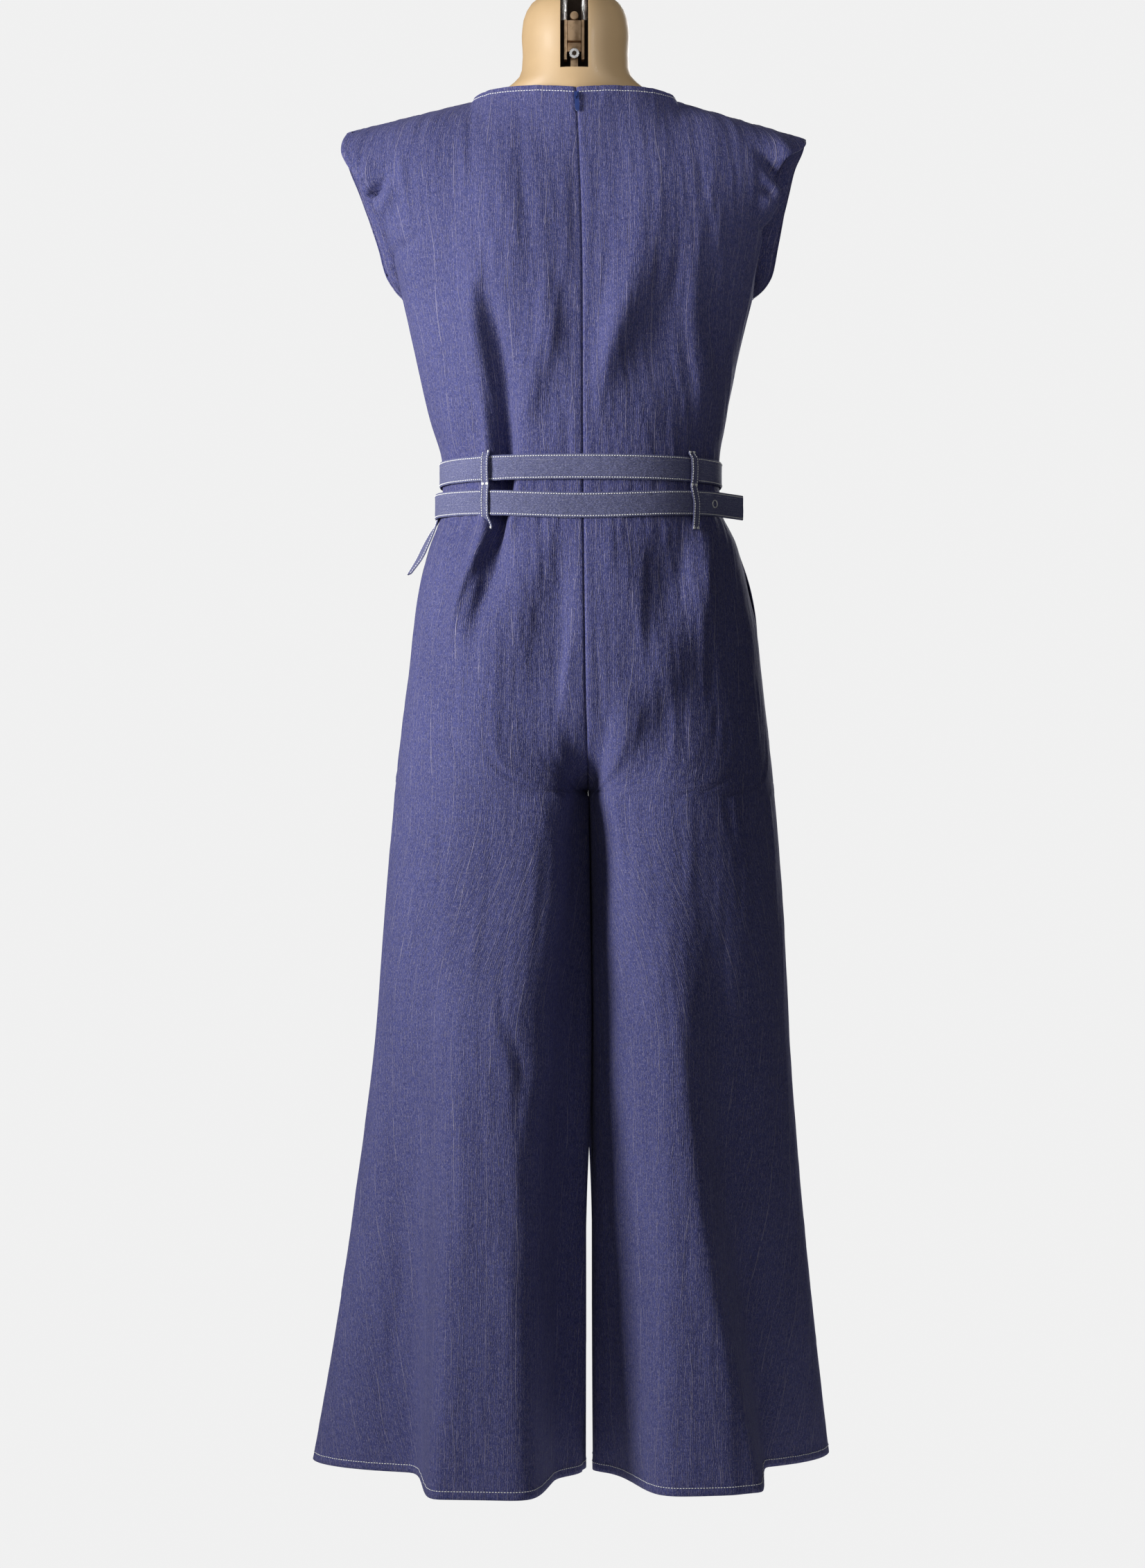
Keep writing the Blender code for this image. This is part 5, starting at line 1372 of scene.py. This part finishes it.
@dataclass
class Belt:
    """The long belt: two turns round the waist, a free tip, a hanging end, carriers and buckle."""

    cut: Cut
    cupboard: Cupboard
    stitcher: Stitcher
    width: float = 26.0
    wall: float = 1.7
    clearance: float = 0.4
    upper_z: float = 326.0
    lower_z: float = 292.5
    sag: float = 6.3
    clear: float = 1.0
    drop_ends: float = 62.0
    tip_run: float = 56.0
    tip_leaves: float = 246.0
    raised_until: float = 100.0
    stitch_inset: float = 1.9
    stitch_pitch: float = 2.7
    points: int = 361
    carrier_width: float = 9.0
    carrier_wall: float = 1.2
    carrier_top: float = 345.0
    carrier_foot: float = 263.0

    def waist_ring(self, z_low: float, z_high: float, clear: float, count: int,
                   sag: float = 0.0) -> np.ndarray:
        """A closed line round the unfolded cloth between two heights, from the centre front."""
        heights = np.linspace(z_low, z_high, 5)
        turn = np.linspace(0.0, math.pi / 2, 120)
        power = 2 / self.cut.roundness
        lines = []
        for panel in (PANELS[2], PANELS[0], PANELS[1], PANELS[3]):
            outer = panel.side * max(abs(self.cut.half_width(panel, z)) for z in heights)
            reach = panel.face * max(abs(self.cut.depth(panel, z - sag)) for z in heights)
            line = np.stack([outer * np.sin(turn) ** power,
                             reach * np.clip(np.cos(turn), 0, 1) ** power], 1)
            lines.append(line[::-1][:-1] if panel.side * panel.face > 0 else line[:-1])
        ring = np.concatenate(lines + [lines[0][:1]])
        heading = unit(np.gradient(ring, axis=0))
        heading[0] = heading[-1] = (1.0, 0.0)
        ring = ring + clear * np.stack([heading[:, 1], -heading[:, 0]], 1)
        return spaced(ring, count)

    @staticmethod
    def outward_of(line: np.ndarray) -> np.ndarray:
        """Outward directions along a line that runs anticlockwise seen from above."""
        heading = unit(np.gradient(line, axis=0))
        return np.stack([heading[:, 1], -heading[:, 0], np.zeros(len(line))], 1)

    def upper_line(self) -> tuple[np.ndarray, np.ndarray]:
        """The first turn's centres and outward directions."""
        ring = self.waist_ring(self.upper_z - 15, self.upper_z + 15, self.clear, self.points)
        outward = self.outward_of(ring)
        outward[0] = outward[-1] = (0.0, -1.0, 0.0)
        ring[0, 0] += 0.15
        ring[-1, 0] -= 0.15
        return np.column_stack([ring, np.full(self.points, self.upper_z)]), outward

    def lower_line(self) -> tuple[np.ndarray, np.ndarray]:
        """The second turn's centres and outward directions, up to its free tip."""
        over = self.upper_line()[0][:, :2]
        half = self.width / 2 + 0.5
        ring = self.waist_ring(self.lower_z - half, self.lower_z + half, self.clear, self.points,
                               self.sag)
        angles = np.linspace(0.0, 360.0, self.points)
        stays = angles <= self.tip_leaves
        ring, over, angles = ring[stays], over[stays], angles[stays]
        z = self.upper_z + (self.lower_z - self.upper_z) * smooth(angles / self.drop_ends)
        z = z - self.sag * np.exp(-(((angles - 180.0) / 42.0) ** 2))
        outward = self.outward_of(ring)
        outward[0] = (0.0, -1.0, 0.0)
        raised = (self.wall + 2 * self.clearance) * (1
                                                     - smooth((angles - self.raised_until) / 22.0))
        wider = np.maximum(np.abs(ring), np.abs(over)) * np.sign(ring)
        base = np.where((angles < self.drop_ends)[:, None], wider, ring)
        line = np.column_stack([base, z]) + outward * raised[:, None]
        line, outward = line[6:], outward[6:]
        heading = unit(line[-1] - line[-4]) * (1.0, 1.0, 0.0)
        steps = np.linspace(0.05, 1.0, 24)[:, None]
        line = np.concatenate([line, line[-1] + heading * self.tip_run * steps])
        return line, np.concatenate([outward, np.repeat(outward[-1:], 24, axis=0)])

    def profile(self) -> np.ndarray:
        """Places round the strap's section: across its width, and out from its inner face."""
        half, wall = self.width / 2, self.wall
        face = [-1.0, -0.93, -0.88, -0.84, -0.78, -0.5, -0.2, 0.2, 0.5, 0.78, 0.84, 0.88, 0.93, 1.0]
        crown = [0.62, 0.93, 1.0, 0.86, 1.0, 0.97, 0.95, 0.95, 0.97, 1.0, 0.86, 1.0, 0.93, 0.62]
        outer = [(share * half, wall * rise) for share, rise in zip(face, crown)]
        inner = [(share * half, wall * (1 - rise) * 0.6) for share,
                 rise in zip(face[::-1], crown[::-1])]
        return np.array(outer + inner)

    def strap(self, name: str, line: np.ndarray, outward: np.ndarray, upward: np.ndarray,
              nodes: list[str], seed: float) -> None:
        """Make one stretch of the belt with its edge stitching.

        Args:
            name: the piece's name.
            line: places along the middle of the strap's inner face.
            outward: the outward direction at each place.
            upward: the direction across the strap at each place.
            nodes: the solids that it stands for.
            seed: shifts its ripples.
        """
        section = self.profile()
        run = along(line)
        across, out = section[:, 0], section[:, 1]
        ripples = 0.22 * ripple(run[:, None] / 9.0 + 0 * across, across[None, :] / 3.2, seed)
        ripples = ripples * (out > self.wall / 2) * (np.abs(across) < 9.5)
        places = line[:, None] + upward[:, None] * across[None, :, None]
        places = places + outward[:, None] * (out[None, :] + ripples)[:, :, None]
        girth = along(np.column_stack([across, out]))
        grain = np.stack(np.broadcast_arrays(girth[None, :] * MM + seed, run[:, None] * MM), 2)
        strap = add_loft(name, places, grain)
        self.cupboard.dress(strap, "belt", Finish.BELT)
        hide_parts(*nodes)
        rows = []
        for edge in (-1, 1):
            inset = edge * (self.width / 2 - self.stitch_inset)
            rows.append((line + upward * inset + outward * self.wall * 0.88, outward))
        self.stitcher.row(f"stitches_{name}", rows, self.stitch_pitch, 1.1)

    def turns(self) -> None:
        """Both turns round the waist."""
        turns = (("upper", self.upper_line(), 0.4), ("lower", self.lower_line(), 1.9))
        for name, (line, outward), seed in turns:
            up = np.repeat(UP[None], len(line), axis=0)
            self.strap(f"strap_{name}", line, outward, up, [f"belt_{name}_turn"], seed)

    def tail(self) -> None:
        """The belt's other end, which hangs at the wearer's left."""
        rows = ((296, 148.3, 0.0), (285, 148.8, 0.0), (277, 151.2, 0.3), (267, 156.2, 2.4),
                (252, 163.6, 3.8), (239, 169.8, 4.0), (222, 181.0, 2.6))
        z, x, yaw = np.array(rows, float)[::-1].T
        levels = np.linspace(296.0, 222.0, 48)
        line = np.stack([through(z, x, levels), np.zeros(48), levels], 1)
        heading = unit(np.gradient(line, axis=0))
        turned = through(z, yaw, levels) * 2 / self.width
        upward = unit(np.stack([-turned, np.ones(48), np.zeros(48)], 1))
        outward = unit(np.cross(upward, heading))
        outward *= np.sign(outward[:, :1])
        self.strap("strap_tail", line, outward, upward, ["belt_tail"], 3.1)

    def carrier_line(self, side: str) -> tuple[np.ndarray, np.ndarray]:
        """A carrier's middle line on its inner face, and the outward directions."""
        top_x, foot_x, seat = (98.0, 97.0, -0.1) if side == "left" else (-114.0, -118.0, 0.5)
        panel = PANELS[0] if side == "left" else PANELS[1]
        over = self.clear + self.wall + 1.0
        stops = (
            (self.carrier_top, seat), (self.carrier_top - 3.5, seat + 0.6),
            (self.upper_z + 12.0, over), (self.upper_z, over + 0.8), (self.upper_z - 12.5, over),
            (309.0, self.clear + 0.9), (self.lower_z + 11.0, over),
            (self.lower_z - 2.0, over + 0.8),
            (self.lower_z - 16.0, over), (self.carrier_foot + 5.0, seat + 1.0),
            (self.carrier_foot, seat),
        )
        places, outwards = [], []
        for z, clear in stops:
            share = (self.carrier_top - z) / (self.carrier_top - self.carrier_foot)
            x = top_x + (foot_x - top_x) * share
            strapped = self.lower_z - 20.0 < z < self.upper_z + 16.0
            low, high = (self.lower_z - 14.0, self.upper_z + 15.0) if strapped else (z - 1.0,
                                                                                     z + 1.0)
            ring = self.waist_ring(low, high, 0.0, 361, self.sag if strapped else 0.0)
            outward = self.outward_of(ring)
            behind = np.flatnonzero(ring[:, 1] > 0)
            nearest = behind[int(np.argmin(np.abs(ring[behind, 0] - x)))]
            across = x + self.carrier_width * np.array([-0.5, 0.0, 0.5])
            raised = 0.0 if strapped else np.max(self.cut.fold_offset(panel, across, z,
                                                                      self.cut.folds))
            places.append(np.array([*ring[nearest], z]) + outward[nearest] * (raised + clear))
            outwards.append(outward[nearest])
        places, outwards = np.array(places)[::-1], np.array(outwards)[::-1]
        fine = np.linspace(places[0, 2], places[-1, 2], 90)
        line = read_line(places[:, 2], places, fine)
        kernel = np.ones(5) / 5
        for axis in (0, 1):
            padded = np.pad(line[:, axis], 2, mode="edge")
            line[:, axis] = np.convolve(padded, kernel, mode="valid")
        return line, unit(np.repeat(outwards.mean(axis=0)[None], 90, axis=0))

    def carriers(self) -> None:
        """The two stitched strips on the back, with bar tacks."""
        for side in ("left", "right"):
            line, outward = self.carrier_line(side)
            half, wall = self.carrier_width / 2, self.carrier_wall
            section = np.array([
                (-half, 0.3), (-half, wall * 0.7), (-half + 0.5, wall), (-half + 1.7, wall * 0.8),
                (0.0, wall), (half - 1.7, wall * 0.8), (half - 0.5, wall), (half, wall * 0.7),
                (half, 0.3), (half - 0.4, 0.0), (0.0, 0.0), (-half + 0.4, 0.0),
            ])
            across = unit(np.cross(UP, outward[0]))
            places = line[:, None] + across * section[None, :, :1]
            places = places + outward[:, None] * section[None, :, 1:]
            girth = along(section)
            grain = np.stack(np.broadcast_arrays(girth[None, :] * MM, along(line)[:, None] * MM), 2)
            strip = add_loft(f"carrier_strip_{side}", places, grain)
            self.cupboard.dress(strip, "belt", Finish.BELT)
            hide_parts(f"carrier_{side}")
            rows = []
            for edge in (-1, 1):
                rows.append((line + across * edge * (half - 1.5) + outward * wall * 0.85, outward))
            self.stitcher.row(f"stitches_carrier_{side}", rows, 2.6, 1.0)
            tacks = []
            for z in (self.carrier_top - 1.6, 309.6, self.carrier_foot + 1.6):
                spot = read_line(line[:, 2], line, z)
                for lift in (-0.55, 0.15, 0.85):
                    ends = np.array([spot - across * (half + 0.3), spot + across * (half + 0.3)])
                    ends = ends + outward[0] * wall * 0.95 + UP * lift
                    tacks.append((ends, outward[:2]))
            self.stitcher.row(f"tacks_carrier_{side}", tacks, 4.2, 0.95)

    def metal(self) -> None:
        """The eyelet near the tip, and the buckle and prong at the centre front."""
        for node in ("belt_eyelet", "belt_buckle", "belt_prong"):
            soften(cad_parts[node], 0.0006 if node == "belt_buckle" else 0.0002)
            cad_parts[node].data.materials[0] = self.cupboard.materials["steel"]

    def build(self) -> None:
        """Make the whole belt."""
        self.turns()
        self.tail()
        self.carriers()
        self.metal()


def soften(piece: bpy.types.Object, width: float) -> None:
    """Round a piece's sharp edges with live modifiers, which leave its mesh alone."""
    weld = piece.modifiers.new("weld", "WELD")
    weld.merge_threshold = 0.00001
    add_bevel(piece, width, 40.0)


def add_bevel(piece: bpy.types.Object, width: float, angle: float) -> None:
    """Add a bevel on the edges that turn by more than an angle in degrees."""
    bevel = piece.modifiers.new("edge", "BEVEL")
    bevel.width, bevel.segments, bevel.limit_method = width, 3, "ANGLE"
    bevel.angle_limit = math.radians(angle)


# ------------------------------------------------------------------ zip


@dataclass
class Zip:
    """The slider and pull of the hidden zip at the centre back, and its tape."""

    cupboard: Cupboard

    def build(self) -> None:
        """Dress the zip's solids."""
        soften(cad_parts["zip_slider"], 0.00025)
        soften(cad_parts["zip_pull"], 0.00022)
        for node, finish in (("zip_slider", "zip"), ("zip_pull", "zip"), ("zip_tape", "tape")):
            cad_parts[node].data.materials[0] = self.cupboard.materials[finish]


# ------------------------------------------------------------------ dress form and fitting


@dataclass
class DressForm:
    """The limbless form and the fitting that it hangs by."""

    cupboard: Cupboard
    sides: int = 112
    slot_low: tuple[float, float, float] = (-7.6, 6.0, 748.0)
    slot_high: tuple[float, float, float] = (21.6, 76.5, 860.0)
    middle: ClassVar[float] = 5.5
    leans_from: ClassVar[float] = 500.0
    leans_over: ClassVar[float] = 200.0
    rings: ClassVar[tuple] = (
        (26, 34, 26, 24, 2.0), (30, 84, 54, 50, 2.0), (42, 124, 82, 78, 2.1),
        (66, 150, 104, 98, 2.2),
        (104, 160, 116, 108, 2.3), (150, 157, 115, 106, 2.3), (205, 143, 101, 98, 2.3),
        (255, 127, 84, 88, 2.2), (306, 118, 75, 80, 2.2), (345, 119, 76, 84, 2.2),
        (400, 130, 84, 98, 2.2), (455, 143, 92, 112, 2.2), (514, 150, 94, 108, 2.2),
        (570, 158, 90, 92, 2.2), (620, 168, 80, 70, 2.1), (660, 172, 68, 54, 1.9),
        (686, 166, 58, 46, 1.6), (700, 152, 55, 42, 1.35), (710, 134, 54, 41, 1.25),
        (718, 112, 54, 42, 1.25), (726, 92, 54, 46, 1.4), (736, 74, 55, 54, 1.8),
        (748, 60, 56, 55, 2.0), (764, 56.5, 56, 56, 2.0), (800, 56.5, 56, 56, 2.0),
        (818, 52, 52, 52, 2.0), (832, 39, 39, 39, 2.0), (840, 21, 21, 21, 2.0),
    )

    @classmethod
    def centre(cls, z: np.ndarray | float) -> np.ndarray:
        """The x of the form's middle, which moves to the neck's above the chest."""
        return cls.middle * smooth((z - cls.leans_from) / cls.leans_over)

    def ring(self, z: float) -> np.ndarray:
        """The form's outline at one height."""
        knots = [row[0] for row in self.rings]
        half, back, front, power = (through(knots, [row[i] for row in self.rings], z)
                                    for i in range(1, 5))
        middle = self.centre(z)
        turns = np.linspace(0.0, 2 * math.pi, self.sides, endpoint=False)
        across, deep = np.cos(turns), np.sin(turns)
        x = middle + half * np.sign(across) * np.abs(across) ** (2 / power)
        y = np.where(deep > 0, back, front) * np.sign(deep) * np.abs(deep) ** (2 / power)
        return np.column_stack([x, y, np.full(self.sides, z)])

    def shell(self) -> None:
        """The moulded body with the slot in the back of its neck, painted dark inside as shade."""
        heights = [row[0] for row in self.rings]
        levels = []
        for low, high in zip(heights[:-1], heights[1:]):
            steps = max(2, int((high - low) / 7.0))
            levels += list(np.linspace(low, high, steps, endpoint=False))
        levels.append(heights[-1])
        body = add_loft("form_body", np.array([self.ring(z) for z in levels]))
        low, high = to_metres(self.slot_low), to_metres(self.slot_high)
        deselect()
        bpy.ops.mesh.primitive_cube_add(size=1.0, location=tuple((low + high) / 2))
        cutter = bpy.context.object
        cutter.scale = tuple(high - low)
        settle(cutter)
        cut = body.modifiers.new("slot", "BOOLEAN")
        cut.operation, cut.object = "DIFFERENCE", cutter
        add_bevel(body, 0.0012, 55.0)
        apply_modifiers(body)
        bpy.data.objects.remove(cutter, do_unlink=True)
        make_active(body)
        bpy.ops.object.shade_smooth_by_angle(angle=math.radians(40))
        self.cupboard.dress(body, "form", Finish.FORM)
        # The faces inside the slot take the near-black brown: painted shade in the recess.
        body.data.materials.append(self.cupboard.materials["slot"])
        for face in body.data.polygons:
            centre = face.center
            inside = low[0] + 0.0006 < centre.x < high[0] - 0.0006 or abs(abs(face.normal.x)
                                                                          - 1) < 0.01
            deep = centre.z > low[2] - 0.0002 and centre.y < 0.0175 and inside
            if deep and low[0] - 0.0005 < centre.x < high[0] + 0.0005 and centre.y > low[1] - 0.0002:
                face.material_index = 1
        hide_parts("dress_form")

    def fitting(self) -> None:
        """Finish the metal fitting, with crumpled sleeves and a painted-shade hexagon for the
        screw's socket.
        """
        finishes = {
            "fitting_lug": "brass", "fitting_plate_left": "brass", "fitting_plate_right": "brass",
            "fitting_block": "brass", "fitting_spacer": "brass", "fitting_knuckle": "brass",
            "fitting_screw": "steel", "fitting_bridge": "steel", "hanging_ring": "steel",
        }
        for node, finish in finishes.items():
            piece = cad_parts[node]
            piece.data.materials[0] = self.cupboard.materials[finish]
            if node == "hanging_ring":
                continue
            soften(piece, 0.0006)
        for side in ("left", "right"):
            self.sleeve(side)
        self.socket()

    def sleeve(self, side: str) -> None:
        """A crumpled metal sleeve in place of its plain solid."""
        low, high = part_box(f"fitting_sleeve_{side}")
        radius, middle = (high.x - low.x) / 2, (high + low) / 2
        deselect()
        bpy.ops.mesh.primitive_cylinder_add(
            vertices=40, radius=radius * 0.9, depth=high.z - low.z, location=middle,
            end_fill_type="NGON"
        )
        sleeve = bpy.context.object
        sleeve.name = f"sleeve_{side}"
        bpy.ops.object.mode_set(mode="EDIT")
        bpy.ops.mesh.select_all(action="SELECT")
        bpy.ops.mesh.subdivide(number_cuts=1)
        bpy.ops.object.mode_set(mode="OBJECT")
        settle(sleeve)
        bpy.ops.object.mode_set(mode="EDIT")
        shape = bmesh.from_edit_mesh(sleeve.data)
        for height in np.linspace(low.z, high.z, 46)[1:-1]:
            everything = shape.verts[:] + shape.edges[:] + shape.faces[:]
            bmesh.ops.bisect_plane(shape, geom=everything, plane_co=(0, 0, height),
                                   plane_no=(0, 0, 1))
        for vertex in shape.verts:
            turn = math.atan2(vertex.co.y - middle.y, vertex.co.x - middle.x)
            rise = vertex.co.z * 1000
            crumple = math.sin(2 * turn + 1.4 * math.sin(rise / 6.1)) * math.sin(rise / 4.3 + turn)
            crumple += 0.5 * math.sin(3 * turn - rise / 2.9)
            factor = 1.0 + 0.07 * crumple
            vertex.co.x = middle.x + (vertex.co.x - middle.x) * factor
            vertex.co.y = middle.y + (vertex.co.y - middle.y) * factor
        bmesh.update_edit_mesh(sleeve.data)
        bpy.ops.object.mode_set(mode="OBJECT")
        bpy.ops.object.shade_smooth_by_angle(angle=math.radians(60))
        self.cupboard.dress(sleeve, "foil", Finish.STEEL)
        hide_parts(f"fitting_sleeve_{side}")

    def socket(self) -> None:
        """A near-black hexagon on the screw's head: painted shade that stands for its socket."""
        low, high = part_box("fitting_screw")
        middle = (low + high) / 2
        deselect()
        bpy.ops.mesh.primitive_cylinder_add(
            vertices=6, radius=0.0027, depth=0.0006, location=(middle.x, high.y + 0.0001, middle.z),
            rotation=(math.pi / 2, 0, 0),
        )
        hexagon = bpy.context.object
        hexagon.name = "screw_socket_painted_shade"
        bpy.ops.object.mode_set(mode="EDIT")
        bpy.ops.mesh.select_all(action="SELECT")
        bpy.ops.mesh.bevel(offset=0.0001, segments=1)
        bpy.ops.object.mode_set(mode="OBJECT")
        settle(hexagon)
        # the near-black brown here is painted shade for the socket's hollow
        self.cupboard.dress(hexagon, "slot", Finish.STEEL)

    def build(self) -> None:
        """Make the form and finish its fitting."""
        self.shell()
        self.fitting()


# ------------------------------------------------------------------ studio


@dataclass
class Studio:
    """The pale surroundings, the soft lights and the camera."""

    camera_at: tuple[float, float, float] = (0.0018, 3.27, -0.890)
    view_height: float = 1.663
    view_distance: float = 3.3
    floor_z: float = -2.2
    floor_radius: float = 1.15
    backdrop: float = 0.875

    def floor(self) -> None:
        """A pale round floor well below the hanging hem."""
        deselect()
        bpy.ops.mesh.primitive_cylinder_add(
            vertices=96, radius=self.floor_radius, depth=0.02, location=(0, 0, self.floor_z)
        )
        floor = bpy.context.object
        floor.name = "floor"
        settle(floor)
        book = Book("pale_floor")
        mottle = book.noise(book.stretched("Object", (0.4, 0.4, 0.4)), 3.0)
        floor.data.materials.append(
            book.dress(
                Base_Color=book.mixed(mottle, (0.8, 0.8, 0.8), (0.86, 0.86, 0.86)),
                Roughness=0.7,
                Emission_Color=(1.0, 1.0, 1.0),
                Emission_Strength=0.42,
            )
        )

    def air(self) -> None:
        """A pale surround that is bright behind the object and dim as a light."""
        world = bpy.data.worlds.new("studio")
        bpy.context.scene.world = world
        world.use_nodes = True
        tree = world.node_tree
        background = tree.nodes["Background"]
        background.inputs[0].default_value = (1.0, 1.0, 1.0, 1.0)
        path = tree.nodes.new("ShaderNodeLightPath")
        shine = tree.nodes.new("ShaderNodeMapRange")
        shine.inputs["To Min"].default_value = 0.075
        shine.inputs["To Max"].default_value = self.backdrop
        tree.links.new(path.outputs["Is Camera Ray"], shine.inputs["Value"])
        tree.links.new(shine.outputs[0], background.inputs[1])

    def lamp(self, name: str, place: tuple, target: tuple, size: tuple, power: float,
             spread: float = 180.0) -> None:
        """One soft rectangular light, whose beam is as wide as the spread in degrees."""
        bpy.ops.object.light_add(type="AREA", location=place)
        lamp = bpy.context.object
        lamp.name = name
        lamp.data.shape = "RECTANGLE"
        lamp.data.size, lamp.data.size_y = size
        lamp.data.energy = power
        lamp.data.spread = math.radians(spread)
        aim = Vector(target) - Vector(place)
        lamp.rotation_euler = aim.to_track_quat("-Z", "Y").to_euler()

    def lights(self) -> None:
        """A key from the viewer's left, a weak fill, and a key for the front."""
        self.lamp("key", (2.2, 1.25, -0.2), (0.0, 0.0, -0.42), (0.9, 1.2), 23.5, 80.0)
        self.lamp("fill", (0.5, 3.4, 0.1), (0.0, 0.0, -0.7), (1.4, 1.6), 9.0)
        self.lamp("front_key", (-1.0, -3.2, 0.2), (0.0, 0.0, -0.75), (1.2, 1.8), 85.0)
        self.lamp("neck_fill", (-1.5, 2.0, 0.35), (0.0, 0.0, -0.05), (0.4, 0.4), 0.45, 25.0)

    def camera(self) -> None:
        """The camera at the photograph's place."""
        data = bpy.data.cameras.new("view")
        data.sensor_width = 36.0
        data.lens = 18.0 / (self.view_height / 2 / self.view_distance)
        camera = bpy.data.objects.new("view", data)
        camera.location = self.camera_at
        camera.rotation_euler = (math.pi / 2, 0.0, math.pi)
        bpy.context.collection.objects.link(camera)
        bpy.context.scene.camera = camera

    def build(self) -> None:
        """Set up the studio."""
        self.floor()
        self.air()
        self.lights()
        self.camera()
        bpy.context.scene.view_settings.view_transform = "Standard"


def dress_plain_nodes(cupboard: Cupboard) -> None:
    """Give the sewn pieces behind the panels the finish of the cloth's inner side."""
    for node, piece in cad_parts.items():
        if node.startswith(("pocket_bag", "armhole_facing")):
            piece.data.materials[0] = cupboard.materials["inside"]


def main() -> None:
    """Dress the whole object."""
    cupboard = Cupboard()
    cut = Cut()
    cloth = Cloth(cut, Creases())
    for panel in PANELS:
        shell = cloth.add_panel(panel, cupboard)
        log.info("%s: %d faces", shell.name, len(shell.data.polygons))
    ArmholeFacings(cloth, cupboard).build()
    stitcher = Stitcher(cupboard)
    GarmentStitching(cloth, stitcher).build()
    Belt(cut, cupboard, stitcher).build()
    Zip(cupboard).build()
    DressForm(cupboard).build()
    dress_plain_nodes(cupboard)
    Studio().build()


if __name__ == "__main__":
    main()
